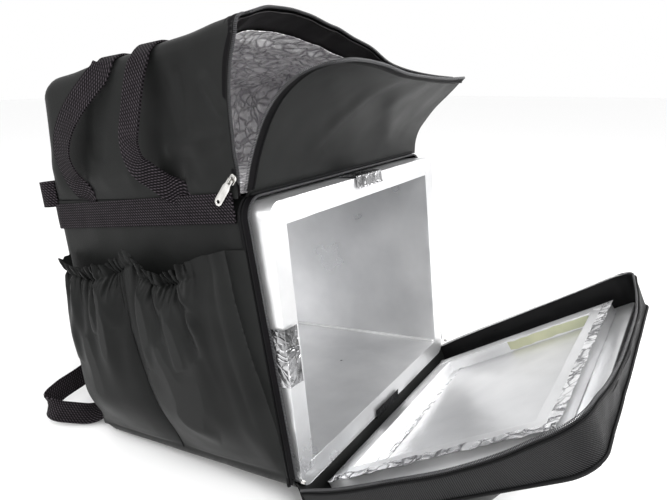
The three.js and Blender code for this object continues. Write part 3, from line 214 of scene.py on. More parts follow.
def mesh_object(name, points, faces, uvs=None, shade=True):
    """A piece from points in the bag's frame and faces; uvs holds one pair per point."""
    mesh = bpy.data.meshes.new(name)
    mesh.from_pydata(to_world(points).tolist(), [], [tuple(int(i) for i in f) for f in faces])
    if uvs is not None:
        layer = mesh.uv_layers.new(name="UVMap")
        corners = np.empty(len(mesh.loops), np.int32)
        mesh.loops.foreach_get("vertex_index", corners)
        layer.data.foreach_set("uv", np.asarray(uvs, np.float32)[corners].ravel())
    mesh.polygons.foreach_set("use_smooth", [shade] * len(mesh.polygons))
    mesh.update()
    made = bpy.data.objects.new(name, mesh)
    bpy.context.collection.objects.link(made)
    return made


def grid_uvs(grid):
    """Distances in metres along the rows and up the columns of a grid."""
    along = np.zeros(grid.shape[:2])
    along[:, 1:] = np.cumsum(np.linalg.norm(np.diff(grid, axis=1), axis=2), axis=1)
    up = np.zeros(grid.shape[:2])
    up[1:] = np.cumsum(np.linalg.norm(np.diff(grid, axis=0), axis=2), axis=0)
    return np.stack([along, up], -1) / 1000.0


def only(*objects):
    """Select these objects alone, and make the first one active."""
    bpy.ops.object.select_all(action="DESELECT")
    for item in objects:
        item.select_set(True)
    bpy.context.view_layer.objects.active = objects[0]


def apply_modifiers(item):
    only(item)
    for modifier in list(item.modifiers):
        bpy.ops.object.modifier_apply(modifier=modifier.name)


def cloth(name, grid, material, thickness=1.0, flip=False, uvs=None):
    """A sheet of cloth with a real thickness, grown to the side away from its faces' normals."""
    rows, columns = grid.shape[:2]
    index = np.arange(rows * columns).reshape(rows, columns)
    a, b, c, d = index[:-1, :-1], index[:-1, 1:], index[1:, 1:], index[1:, :-1]
    faces = np.stack([a, b, c, d] if not flip else [a, d, c, b], -1).reshape(-1, 4)
    uv = grid_uvs(grid) if uvs is None else uvs
    made = mesh_object(name, grid.reshape(-1, 3), faces, uv.reshape(-1, 2))
    if thickness:
        wall = made.modifiers.new("wall", "SOLIDIFY")
        wall.thickness = thickness / 1000.0
        wall.offset = -1.0
        wall.use_even_offset = False
        apply_modifiers(made)
    made.data.materials.append(material)
    only(made)
    bpy.ops.object.shade_smooth_by_angle(angle=math.radians(50))
    return made


def tube(name, path, radius, material, sides=10, step=3.0, flatten=1.0):
    """A round cord of cloth or thread along a path, with closed ends."""
    path = evenly(path, step)
    forward = np.gradient(path, axis=0)
    forward /= np.linalg.norm(forward, axis=1, keepdims=True)
    side = np.cross(forward, [0.0, 0.0, 1.0])
    weak = np.linalg.norm(side, axis=1) < 0.3
    side[weak] = np.cross(forward[weak], [0.0, 1.0, 0.0])
    for k in range(1, len(side)):
        if np.dot(side[k], side[k - 1]) < 0:
            side[k] *= -1
    side /= np.linalg.norm(side, axis=1, keepdims=True)
    up = np.cross(side, forward)
    turn = np.linspace(0, 2 * math.pi, sides, endpoint=False)
    ring = np.cos(turn)[None, :, None] * side[:, None] + flatten * np.sin(turn)[None, :, None] * up[:, None]
    points = (path[:, None] + radius * ring).reshape(-1, 3)
    count = len(path)
    faces = []
    for k in range(count - 1):
        for j in range(sides):
            n = (j + 1) % sides
            faces.append((k * sides + j, k * sides + n, (k + 1) * sides + n, (k + 1) * sides + j))
    faces.append(tuple(range(sides - 1, -1, -1)))
    faces.append(tuple((count - 1) * sides + j for j in range(sides)))
    reach = np.repeat(np.arange(count) * step / 1000.0, sides)
    round_about = np.tile(turn * radius / 1000.0, count)
    made = mesh_object(name, points, faces, np.stack([reach, round_about], -1))
    made.data.materials.append(material)
    outward(made)
    return made


def outward(item):
    """Turn a closed piece's faces outward."""
    only(item)
    bpy.ops.object.mode_set(mode="EDIT")
    bpy.ops.mesh.select_all(action="SELECT")
    bpy.ops.mesh.normals_make_consistent(inside=False)
    bpy.ops.object.mode_set(mode="OBJECT")


def ribbon(name, path, across, width, thickness, material, step=3.0, cells=8, wave=None):
    """Flat webbing along a path: across gives the direction of its width at each point."""
    path = np.asarray(path, float)
    across = np.asarray(across, float)
    reach = np.concatenate([[0.0], np.cumsum(np.linalg.norm(np.diff(path, axis=0), axis=1))])
    at = spaced(0.0, reach[-1], step)
    centre = np.stack([np.interp(at, reach, path[:, k]) for k in range(3)], 1)
    side = np.stack([np.interp(at, reach, across[:, k]) for k in range(3)], 1)
    forward = np.gradient(centre, axis=0)
    forward /= np.linalg.norm(forward, axis=1, keepdims=True)
    side -= (side * forward).sum(1, keepdims=True) * forward
    side /= np.linalg.norm(side, axis=1, keepdims=True)
    out = np.cross(forward, side)
    places = np.linspace(-0.5, 0.5, cells + 1)
    grid = centre[None] + places[:, None, None] * width * side[None] + out[None] * thickness / 2
    if wave is not None:
        grid = grid + wave(grid)[..., None] * out[None]
    uv = np.stack(np.broadcast_arrays(at[None] / 1000.0, (places[:, None] + 0.5) * width / 1000.0), -1)
    return cloth(name, grid, material, thickness, uvs=uv, flip=True)


def coil(name, path, out, material, radius=1.35, pitch=1.7, wire=0.42):
    """A zip's nylon coil: a thin wire wound round a path."""
    path = evenly(path, pitch / 8.0)
    count = len(path)
    forward = np.gradient(path, axis=0)
    forward /= np.linalg.norm(forward, axis=1, keepdims=True)
    out = np.asarray(out, float)
    base = np.stack([np.interp(np.linspace(0, 1, count), np.linspace(0, 1, len(out)), out[:, k])
                     for k in range(3)], 1)
    base -= (base * forward).sum(1, keepdims=True) * forward
    base /= np.linalg.norm(base, axis=1, keepdims=True)
    side = np.cross(forward, base)
    turn = 2 * math.pi * np.arange(count) / 8.0
    wound = path + radius * (np.cos(turn)[:, None] * base * 0.8 + np.sin(turn)[:, None] * side)
    along = np.gradient(wound, axis=0)
    along /= np.linalg.norm(along, axis=1, keepdims=True)
    a = np.cross(along, forward)
    a /= np.linalg.norm(a, axis=1, keepdims=True)
    b = np.cross(along, a)
    sides = 4
    ring = [math.pi / 4 + 2 * math.pi * j / sides for j in range(sides)]
    points = np.stack([wound + wire * (math.cos(t) * a + math.sin(t) * b) for t in ring], 1)
    index = np.arange(count * sides).reshape(count, sides)
    nxt = np.roll(index, -1, axis=1)
    faces = np.stack([index[:-1], nxt[:-1], nxt[1:], index[1:]], -1).reshape(-1, 4).tolist()
    faces += [index[0, ::-1].tolist(), index[-1].tolist()]
    made = mesh_object(name, points.reshape(-1, 3), faces, np.zeros((count * sides, 2)))
    made.data.materials.append(material)
    outward(made)
    return made


# Upper compartment: an arch of cloth whose front edge is open

ROOF_LIFT = [(0, 0), (0.09, 0.6), (0.165, 0.65), (0.25, 0.46), (0.387, 0), (1, 0)]
ROOF_DROP = [(0, 0), (0.25, 0), (0.387, 0.05), (0.49, 0.2), (0.6, 0.35), (0.7, 0.61), (0.79, 0.78),
             (0.896, 0.92), (1, 1)]
ROOF_PULL = [(0, 0), (0.387, 0), (0.49, 0.01), (0.6, 0.03), (0.7, 0.09), (0.79, 0.3), (0.896, 0.67), (1, 1)]
LEFT_WALL = [(0, 0), (0.2, 0.05), (0.4, 0.05), (0.6, 0.1), (0.8, 0.32), (1, 0.8)]
RIGHT_WALL = [(0, 0), (0.2, 0), (0.4, 0.07), (0.6, 0.25), (0.8, 0.48), (1, 0.76)]
ROOF_LINE = [(0, 1), (0.25, 0.7), (0.5, 0.47), (0.8, 0.24), (1, 0)]


def hood_back(z):
    """Where the hood's rear wall stands at a height."""
    return HOOD_BACK_FOOT - HOOD_BACK_LEAN * np.clip((z - HOOD_FOOT) / HOOD_REAR_RISE, 0, 1)


def hood_columns(leg, bend, roof):
    """One row per column of the arch: side, height up the leg, turn of the bend, place across the roof."""
    up = np.linspace(0, 1, leg)
    turn = np.linspace(0, 1, bend + 1)[1:]
    across = np.linspace(0, 1, roof + 1)[1:-1]
    columns = [(-1, u, 0, 0) for u in up] + [(-1, 1, t, 0) for t in turn]
    columns += [(0, 1, 1, a) for a in across]
    columns += [(1, 1, t, 1) for t in turn[::-1]] + [(1, u, 0, 1) for u in up[::-1]]
    return np.array(columns, float)


def arch(columns, half, rise, bend):
    side, up, turn, across = columns.T
    angle = turn * math.pi / 2
    on_roof = side == 0
    x = np.where(on_roof, mix(bend - half, half - bend, across),
                 side * (half - bend + bend * np.cos(angle)))
    z_leg = HOOD_FOOT + up * (rise - bend)
    z_bend = HOOD_FOOT + rise - bend + bend * np.sin(angle)
    z = np.where(on_roof, HOOD_FOOT + rise, np.where(turn == 0, z_leg, z_bend))
    return x, z


def hood_grid(leg=44, bend=6, roof=96, deep=64, turns=9, closing=14):
    """The hood's outer face: rows from the front edge to the rear, round it and closed over the back."""
    columns = hood_columns(leg, bend, roof)
    side, up, turn, across = columns.T
    foot = EDGE_TOP + 3
    left = mix(foot, -HOOD_FRONT, profile(LEFT_WALL, up))
    right = mix(foot, -EAR_REACH, mix(profile(RIGHT_WALL, up), 1.0, turn))
    over = mix(-HOOD_FRONT, -EAR_REACH, profile(ROOF_PULL, across))
    front = np.where(side == 0, over, np.where(side < 0, left, right))
    round_rear = mix(REAR_CORNER, HOOD_REAR_ROUND, np.where(side == 0, 1.0, turn))
    drop = HOOD_LIFT * profile(ROOF_LIFT, across) - EAR_DROP * profile(ROOF_DROP, across)
    rows = []
    backs = np.concatenate([np.linspace(0, FACING_SHARE, 9)[:-1], np.linspace(FACING_SHARE, 1, deep)])
    for back in backs:
        rise = mix(HOOD_REAR_RISE, HOOD_RISE, profile(ROOF_LINE, back)) + drop * (1 - smooth(back / 0.6))
        x, z = arch(columns, HALF, rise, HOOD_BEND)
        y = mix(front, hood_back(z) - round_rear, back)
        rows.append(np.stack([x, y, z], -1))
    for share in np.linspace(0, 1, turns + 1)[1:]:
        angle = share * math.pi / 2
        inward = 1 - math.cos(angle)
        x, z = arch(columns, HALF - REAR_CORNER * inward, HOOD_REAR_RISE - HOOD_REAR_ROUND * inward,
                    HOOD_BEND)
        rows.append(np.stack([x, hood_back(z) - round_rear + round_rear * math.sin(angle), z], -1))
    half, rise = HALF - REAR_CORNER, HOOD_REAR_RISE - HOOD_REAR_ROUND
    for shrink in np.linspace(1, 0.02, closing + 1)[1:]:
        bend = min(HOOD_BEND, half * shrink / 4, rise * shrink / 4)
        x, z = arch(columns, half * shrink, rise * shrink, bend)
        rows.append(np.stack([x, hood_back(z), z], -1))
    return np.array(rows), len(backs)


# Folds of the hood's walls: y and z where each starts and ends, its width and its height
HOOD_CREASES = [(34, 470, 14, 436, 6, 3.5), (98, 402, 20, 412, 8, 3), (70, 480, 66, 420, 7, -2.5),
                (150, 380, 250, 372, 9, 2.5), (210, 470, 230, 400, 12, -3), (16, 395, 60, 366, 9, 2.5)]


def hood_folds(p):
    """How far the hood's cloth stands off its smooth form, in millimetres, positive outward."""
    x, y, z = p[..., 0], p[..., 1], p[..., 2]
    up = np.clip((z - HOOD_FOOT) / HOOD_RISE, 0, 1)
    long = p * np.array([1.0, 1.0, 0.4])
    amount = 2.2 * noise(p, 95, 1) + 0.9 * noise(long, 34, 2)
    drape = creases(p * np.array([1.0, 0.55, 1.0]) + 22 * noise(p, 80, 5)[..., None], 62, 3)
    amount += 1.5 * np.clip(drape - 0.35, 0, 1)
    side = np.clip((np.abs(x) - HALF + 30) / 30, 0, 1)
    sag = np.sin(math.pi * np.clip((y + 20) / 340, 0, 1)) * np.sin(math.pi * np.clip(up * 1.1, 0, 1))
    amount -= 3.0 * side * sag
    slack = np.exp(-(((y - 62) - 0.35 * (z - 420)) / 13.0) ** 2)
    slack = slack * np.sin(math.pi * np.clip(up * 1.05, 0, 1))
    amount += 2.6 * side * slack
    for start_y, start_z, end_y, end_z, width, height in HOOD_CREASES:
        run = np.array([end_y - start_y, end_z - start_z])
        share = np.clip(((y - start_y) * run[0] + (z - start_z) * run[1]) / (run @ run), 0, 1)
        off = np.hypot(y - start_y - share * run[0], z - start_z - share * run[1])
        amount += side * height * np.exp(-(off / width) ** 2)
    gather = np.exp(-((z - HOOD_FOOT - 26) / 20) ** 2) * side
    amount += 2.4 * gather * creases(p, 46, 7)
    hem = smooth((z - HOOD_FOOT) / 16)
    return amount * hem


hood_base = hood_grid()[0]
hood_out = grid_normals(hood_base)
if hood_out[10, 5, 0] > 0:
    hood_out = -hood_out
hood_reach = smooth((hood_base[..., 1] + 12) / 30)
hood = hood_base + hood_out * (np.clip(hood_folds(hood_base), -3.0, 5.5) * hood_reach)[..., None]
hood[..., 2] = np.maximum(hood[..., 2], HOOD_FOOT)


def upper_shell(material):
    made = cloth("upper_hood", hood, material, 1.4, flip=True)
    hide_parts("shell_upper")
    return made


def droop(share, edge):
    """How far the facing's rear edge hangs below the roof: most at the left, nothing down the walls."""
    over = smooth((HALF - 6 - np.abs(edge[:, 0])) / 12)
    return 9.0 * share * over * mix(1.0, 0.6, smooth((edge[:, 0] + HALF) / (2 * HALF)))


def upper_facing(material):
    """The black cloth that faces the inside of the mouth, with a sewn edge."""
    rows = slice(0, 10)
    grid = hood_base[rows] - hood_out[rows] * 2.6
    grid = grid - droop(np.linspace(0, 1, 10)[:, None], hood_base[0])[..., None] * np.array([0, 0, 1.0])
    wrinkle = 0.7 * noise(grid, 26, 11) + 0.5 * noise(grid, 11, 12)
    grid = grid - hood_out[rows] * np.clip(wrinkle + 0.6, 0, 2)[..., None]
    grid[..., 2] = np.maximum(grid[..., 2], HOOD_FOOT + 2)
    made = cloth("mouth_facing", grid, material, 1.0, flip=False)
    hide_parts("upper_facing")
    return made


def upper_lining(material):
    """Thin crinkled foil cloth on all the inside, crushed into small sharp folds."""
    grid = hood_grid(leg=56, bend=6, roof=150, deep=110, turns=9, closing=26)[0]
    out = grid_normals(grid)
    if out[10, 5, 0] > 0:
        out = -out
    grid, out = grid[9:], out[9:]
    warped = grid + 14 * np.stack([noise(grid, 40, s) for s in (21, 22, 23)], -1)
    crush = 5.0 * np.clip(creases(warped, 74, 24), -0.2, 1) + 2.6 * np.clip(creases(warped, 33, 25), 0, 1)
    crush += 1.5 * creases(warped, 15, 26) + 0.5 * noise(grid, 6, 27)
    keep = smooth((grid[..., 1] - 12) / 26) * 0.85 + 0.15
    hang = droop(1.0, grid[0])[None] * np.exp(-(np.arange(len(grid)) / 24.0)[:, None] ** 2)
    grid = grid - out * (5.6 + np.clip(crush, -0.6, 9) * keep)[..., None]
    grid = grid - hang[..., None] * np.array([0, 0, 1.0])
    grid[..., 2] = np.maximum(grid[..., 2], HOOD_FOOT + 1.5)
    made = cloth("foil_lining", grid, material, 0.6, flip=False)
    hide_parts("upper_lining")
    return made


def lining_floor(material):
    """The lining's floor: a grid cut to the hood's plan, crinkled like the walls."""
    x = spaced(-HALF + 5, HALF - 5, 3.2)
    y = spaced(EDGE_TOP + 9, HOOD_BACK_FOOT - 5, 3.2)
    gx, gy = np.meshgrid(x, y)
    corner = np.clip(np.abs(gx) - (HALF - 5 - REAR_CORNER), 0, None) / REAR_CORNER
    gy = np.minimum(gy, HOOD_BACK_FOOT - 5 - REAR_CORNER * (1 - np.sqrt(np.clip(1 - corner ** 2, 0, 1))))
    grid = np.stack([gx, gy, np.full_like(gx, HOOD_FOOT + 1.8)], -1)
    warped = grid + 14 * np.stack([noise(grid, 40, s) for s in (31, 32, 33)], -1)
    crush = 3.0 * np.clip(creases(warped, 60, 34), -0.1, 1) + 1.6 * np.clip(creases(warped, 26, 35), 0, 1)
    grid[..., 2] += np.clip(crush + 0.5 * noise(grid, 8, 36), 0, 6)
    made = cloth("foil_lining_floor", grid, material, 0.5)
    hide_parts("upper_lining")
    return made


def upper_zip(tape, teeth, trim):
    """Half of the zip along the hood's front edge: its tape, its coil and the line of stitches behind."""
    edge = hood[0] - hood_out[0] * 0.7
    last = np.argmax(hood_base[0, :, 0] > HALF - HOOD_BEND - 1)
    path = evenly(edge[4:last], 3.0)
    count = len(path)
    forward = np.gradient(path, axis=0)
    forward /= np.linalg.norm(forward, axis=1, keepdims=True)
    front = np.tile([0.0, -1.0, 0.0], (count, 1))
    front -= (front * forward).sum(1, keepdims=True) * forward
    front /= np.linalg.norm(front, axis=1, keepdims=True)
    out = np.cross(front, forward)
    if out[10, 0] > 0:
        out = -out
    rails = ((-9.0, 0.5), (-5.0, 1.3), (-1.0, 1.3), (1.6, 0.9))
    grid = np.array([path + forth * front + off * out for forth, off in rails])
    made = cloth("roof_zip_tape", grid, tape, 0.8)
    wound = coil("roof_zip_coil", path + front * 2.4 + out * 1.0, out, teeth, radius=1.7)
    seam = tube("roof_zip_seam", path - front * 13.0 + out * 0.35, 0.9, trim, sides=6)
    for piece in (made, wound, seam):
        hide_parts("upper_zip")
    return made, wound, seam


# Front flap, folded forward from the mouth

FLAP_LEFT = [(0, 0), (0.05, 0.07), (0.13, 0.29), (0.23, 0.5), (0.32, 0.65), (0.45, 0.8), (0.59, 0.9),
             (0.73, 0.965), (0.86, 0.995), (1, 1)]
FLAP_TOP = [(-1, 1, 1), (-0.8, 0.97, 1.03), (-0.5, 0.93, 1.01), (-0.15, 0.87, 0.94), (0.2, 0.81, 0.915),
            (0.63, 0.74, 0.9), (1, 0.7, 0.915)]
FLAP_RIGHT = [(0, 0), (0.02, 0.15), (0.08, 0.3), (0.19, 0.44), (0.32, 0.58), (0.5, 0.73), (0.7, 0.915)]


def flap_place(across, reach, rise):
    return [across * HALF, EDGE_TOP - reach * FLAP_REACH, HOOD_FOOT + rise * FLAP_RISE]


flap_left = evenly(catmull([flap_place(-1, *row) for row in FLAP_LEFT], 12), 2.0)
flap_top = evenly(catmull([flap_place(*row) for row in FLAP_TOP], 24), 2.0)
flap_right = evenly(catmull([flap_place(1, *row) for row in FLAP_RIGHT], 12), 2.0)
FLAP_HEIGHT = float(np.linalg.norm(np.diff(flap_left, axis=0), axis=1).sum())


def at_share(path, share):
    """The points of a path at shares from its start, 0, to its end, 1."""
    place = np.clip(share, 0, 1) * (len(path) - 1)
    return np.stack([np.interp(place, np.arange(len(path)), path[:, k]) for k in range(3)], -1)


def flap_surface(across, up):
    """The flap's middle, blended from its four edges, for shares across and up."""
    across, up = np.broadcast_arrays(np.asarray(across, float), np.asarray(up, float))
    low_left, low_right = np.array(flap_place(-1, 0, 0)), np.array(flap_place(1, 0, 0))
    a, u = across[..., None], up[..., None]
    sides = mix(at_share(flap_left, up), at_share(flap_right, up), a)
    ends = mix(mix(low_left, low_right, a), at_share(flap_top, across), u)
    corners = mix(mix(low_left, low_right, a), mix(flap_top[0], flap_top[-1], a), u)
    out = sides + ends - corners
    out[..., 1] -= 6.0 * np.sin(math.pi * across) * np.sin(math.pi * up)
    return out


def flap_folds(across, up):
    """Soft folds that run from the flap's foot to its raised corners."""
    waves = 4.5 * np.exp(-((across - 0.42 - 0.25 * up) / 0.07) ** 2) * up * (1 - 0.4 * up)
    waves -= 4.5 * np.exp(-((across - 0.62 + 0.2 * up) / 0.09) ** 2) * np.sin(math.pi * up)
    waves += 4.0 * np.exp(-((across - 0.2 - 0.3 * up) / 0.05) ** 2) * np.sin(math.pi * up)
    narrow = np.exp(-((across - 0.8 + 0.35 * up) / 0.05) ** 2)
    waves += 1.6 * narrow * np.sin(math.pi * np.clip(up * 1.2, 0, 1))
    return waves


def front_flap(material, trim):
    inset = 9.6
    radius = FLAP_CORNER - inset
    bend = inset + radius * (1 - np.cos(np.linspace(0, math.pi / 2, 14)))
    distance = np.concatenate([bend, spaced(FLAP_CORNER, 2 * HALF, 4.2)[1:]])
    away = np.clip(inset + radius - distance, 0, None)
    top = FLAP_HEIGHT - inset - radius + np.sqrt(np.clip(radius ** 2 - away ** 2, 0, None))
    up = np.linspace(0, 1, 46)[:, None] * (top / FLAP_HEIGHT)[None]
    across = np.broadcast_to(distance / (2 * HALF), up.shape)
    grid = flap_surface(across, up)
    out = grid_normals(grid)
    if out[20, 40, 1] > 0:
        out = -out
    edge = smooth((up[-1] - up) * 12) * smooth(up * 14)
    grid = grid + out * (edge * (flap_folds(across, up) + 1.2 * noise(grid, 60, 41)
                                 + 0.5 * noise(grid, 22, 42)))[..., None]
    grid[..., 2] = np.maximum(grid[..., 2], HOOD_FOOT)
    made = cloth("flap_cloth", grid, material, 1.6, flip=grid_normals(grid)[20, 40, 1] > 0)
    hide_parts("front_flap")
    hem = flap_surface(np.linspace(0.03, 0.97, 150), np.full(150, 0.012)) + np.array([0, -1.2, 0.3])
    cord = tube("flap_foot_seam", hem, 1.7, trim, sides=8)
    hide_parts("front_flap")
    return made, cord


def flap_rim():
    """The flap's outline from the slider up the left edge, round the corner and along the top."""
    turn = FLAP_HEIGHT - FLAP_CORNER
    rows = [(0.0, y, math.pi) for y in spaced(0.05 * FLAP_HEIGHT, turn, 4.0)]
    for share in np.linspace(0, 1, 13)[1:]:
        angle = math.pi - share * math.pi / 2
        rows.append((FLAP_CORNER + FLAP_CORNER * math.cos(angle), turn + FLAP_CORNER * math.sin(angle),
                     angle))
    rows += [(x, FLAP_HEIGHT, math.pi / 2) for x in spaced(FLAP_CORNER, 2 * HALF, 4.0)[1:]]
    return np.array(rows)


def flap_zip(tape, teeth, trim):
    rim = flap_rim()

    def rail(inset, off):
        x = (rim[:, 0] - inset * np.cos(rim[:, 2])) / (2 * HALF)
        y = (rim[:, 1] - inset * np.sin(rim[:, 2])) / FLAP_HEIGHT
        line = flap_surface(x, y)
        line[:, 1] -= off
        return line

    grid = np.array([rail(inset, 0.5) for inset in (13.5, 10.0, 6.0, 2.6)])
    made = cloth("flap_zip_tape", grid, tape, 1.0, flip=True)
    wound = coil("flap_zip_coil", rail(1.6, 0.0), np.tile([0.0, -1.0, 0.3], (len(rim), 1)), teeth,
                 radius=1.7)
    seam = tube("flap_edge_binding", rail(13.4, 1.6), 1.5, trim, sides=8)
    for piece in (made, wound, seam):
        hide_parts("flap_zip")
    return made, wound, seam


# Lower compartment: skin, padded back, foam box and the zip round its mouth

def front_edge(z):
    return mix(EDGE_BOTTOM, EDGE_TOP, (z - SHELL_BOTTOM) / (SHELL_TOP - SHELL_BOTTOM))


def section(side, bottom, top, low, high, flat=40, bend=8):
    """A rounded rectangle in x and z, with its own radius for the low and the high corners."""
    arcs = [(side - low, bottom + low, low, -90), (side - high, top - high, high, 0),
            (high - side, top - high, high, 90), (low - side, bottom + low, low, 180)]
    middle = np.array([0.0, bottom])
    points = []
    for k, (cx, cz, corner, start) in enumerate(arcs):
        angles = np.radians(start + np.linspace(0, 90, bend + 1))
        arc = np.stack([cx + corner * np.cos(angles), cz + corner * np.sin(angles)], 1)
        begin = middle if k == 0 else points[-1][-1]
        count = flat // 2 if k == 0 else flat
        points.append(np.linspace(begin, arc[0], count, endpoint=False)[(0 if k == 0 else 1):])
        points.append(arc)
    points.append(np.linspace(points[-1][-1], middle, flat // 2)[1:])
    return np.vstack(points)


def lower_skin(material):
    """The coated cloth round the lower compartment, from its front edge to the back's seam."""
    rows = []
    depth = np.concatenate([np.linspace(0, 0.88, 74), np.linspace(0.885, 1, 16)])
    for share in depth:
        y0 = mix(EDGE_BOTTOM, SHELL_BACK, share)
        rear = np.clip((y0 - (SHELL_BACK - REAR_CORNER)) / REAR_CORNER, 0, 1)
        low = np.clip((y0 - (SHELL_BACK - REAR_BOTTOM)) / REAR_BOTTOM, 0, 1)
        inset = REAR_CORNER * (1 - math.sqrt(1 - rear * rear))
        lift = REAR_BOTTOM * (1 - math.sqrt(1 - low * low))
        high = mix(SHELL_CORNER, 4.0, smooth((y0 - EDGE_TOP) / 22))
        loop = section(HALF - inset, SHELL_BOTTOM + lift, SHELL_TOP - 0.2 * inset, SHELL_CORNER, high)
        y = mix(front_edge(loop[:, 1]), SHELL_BACK, share)
        rows.append(np.stack([loop[:, 0], y, loop[:, 1]], -1))
    grid = np.array(rows)
    out = grid_normals(grid)
    if out[30, len(grid[0]) // 4, 0] < 0:
        out = -out
    z = grid[..., 2]
    fade = smooth((depth[:, None] - 0.02) * 9) * smooth((1 - depth[:, None]) * 9)
    folds = 1.3 * noise(grid, 80, 51) + 0.6 * noise(grid * np.array([1, 1, 0.5]), 27, 52)
    folds -= 1.6 * np.clip(creases(grid + 20 * noise(grid, 70, 54)[..., None], 66, 53) - 0.5, 0, 1)
    side = (np.abs(grid[..., 0]) > HALF - 30) * smooth((z - 4) / 30)
    sag = -2.0 * side * np.sin(math.pi * np.clip((z - 10) / 320, 0, 1))
    floor = z < 4
    amount = np.where(floor, np.clip(0.4 * folds, -0.8, 0.2), folds + sag) * fade
    grid = grid + out * np.clip(amount, -4, 1.6)[..., None]
    made = cloth("lower_skin", grid, material, 1.6, flip=True)
    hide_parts("shell_lower")
    return made


def back_cloth(material):
    """The flat cloth that closes the back, sewn to the skin's rear edge."""
    side = HALF - REAR_CORNER + 4
    x = spaced(-side, side, 5.0)
    z = spaced(SHELL_BOTTOM + REAR_BOTTOM - 4, SHELL_TOP - 3, 5.0)
    gx, gz = np.meshgrid(x, z)
    flat = np.stack([gx, 0 * gx, gz], -1)
    slack = 0.5 * noise(flat, 60, 65) + 0.3 * noise(flat, 20, 66)
    grid = np.stack([gx, SHELL_BACK - 3.0 - np.clip(0.6 + slack, 0, 1.6), gz], -1)
    made = cloth("back_cloth", grid, material, 1.4, flip=True)
    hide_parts("shell_lower")
    return made


def puffed(item, cell, pressure, most, free):
    """Let a padded piece swell as filled cloth does, with every point's move kept below a limit."""
    only(item)
    even = item.modifiers.new("even_cloth", "REMESH")
    even.mode = "VOXEL"
    even.voxel_size = cell / 1000
    apply_modifiers(item)
    count = len(item.data.vertices)
    start = np.empty(count * 3)
    item.data.vertices.foreach_get("co", start)
    filled = item.modifiers.new("filled_cloth", "CLOTH")
    filled.settings.use_pressure = True
    filled.settings.uniform_pressure_force = pressure
    filled.settings.effector_weights.gravity = 0.0
    scene = bpy.context.scene
    for step in range(1, 21):
        scene.frame_set(step)
    shown = item.evaluated_get(bpy.context.evaluated_depsgraph_get())
    swollen = np.empty(count * 3)
    shown.data.vertices.foreach_get("co", swollen)
    item.modifiers.remove(filled)
    scene.frame_set(1)
    start, swollen = start.reshape(-1, 3), swollen.reshape(-1, 3)
    move = swollen - start
    move -= move.mean(0)
    length = np.linalg.norm(move, axis=1, keepdims=True)
    move *= np.minimum(1.0, most / 1000 / np.maximum(length, 1e-9))
    move *= free(from_world(start))[:, None]
    item.data.vertices.foreach_set("co", (start + move).ravel())
    item.data.update()
    fine = item.modifiers.new("fine", "SUBSURF")
    fine.levels = 1
    apply_modifiers(item)
    only(item)
    bpy.ops.object.shade_smooth()


def back_pad(material, name, left, right, low, high, thick, channels):
    """A padded panel of the back: crowned cloth with sewn channels, flat against the box behind it."""
    x = spaced(left, right, 3.4)
    z = spaced(low, high, 3.4)
    gx, gz = np.meshgrid(x, z)
    u = (gx - left) / (right - left)
    v = (gz - low) / (high - low)
    edge = np.minimum(np.minimum(u, 1 - u) * (right - left), np.minimum(v, 1 - v) * (high - low))
    crown = np.sqrt(np.clip(1 - (1 - np.clip(edge / 26, 0, 1)) ** 2, 0, 1))
    quilt = np.ones_like(gx)
    for place in channels:
        quilt *= 1 - 0.75 * np.exp(-((v - place) * (high - low) / 5.5) ** 2)
    slack = 0.6 * noise(np.stack([gx, gz * 0.5, gx * 0], -1), 30, 61)
    slack = slack + 0.4 * noise(np.stack([gx, gz, gx * 0], -1), 12, 62)
    pull_in = 3.0 * np.sin(math.pi * v) * (2 * u - 1)
    y = SHELL_BACK - 4 + thick * crown * quilt + slack * crown
    front = np.stack([gx - pull_in * 0.4, y, gz], -1)
    made = cloth(name, front, material, 12.0, flip=True)
    sewn = [low + place * (high - low) for place in channels]
    puffed(made, 4.0, 4.0, 6.0,
           lambda p: np.min([1 - np.exp(-((p[:, 2] - z) / 6.0) ** 2) for z in sewn], 0))
    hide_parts("shell_lower")
    return made


def only_none():
    """Leave edit mode and select nothing."""
    if bpy.context.object and bpy.context.object.mode != "OBJECT":
        bpy.ops.object.mode_set(mode="OBJECT")
    bpy.ops.object.select_all(action="DESELECT")


def pick(item, faces=(), edges=()):
    """Enter edit mode with exactly these faces or edges selected."""
    only(item)
    bpy.context.tool_settings.mesh_select_mode = (False, not len(faces), bool(len(faces)))
    mesh = item.data
    mesh.polygons.foreach_set("select", [False] * len(mesh.polygons))
    mesh.edges.foreach_set("select", [False] * len(mesh.edges))
    mesh.vertices.foreach_set("select", [False] * len(mesh.vertices))
    for index in faces:
        mesh.polygons[index].select = True
    for index in edges:
        mesh.edges[index].select = True
    bpy.ops.object.mode_set(mode="EDIT")


def edges_along(item, axis):
    """The edges of a block that run along one of its axes: 0 across, 1 to the rear, 2 upright."""
    points = [corner.co for corner in item.data.vertices]
    ends = [edge.vertices for edge in item.data.edges]
    return [k for k, (a, b) in enumerate(ends) if abs((points[a] - points[b])[axis]) > 1]


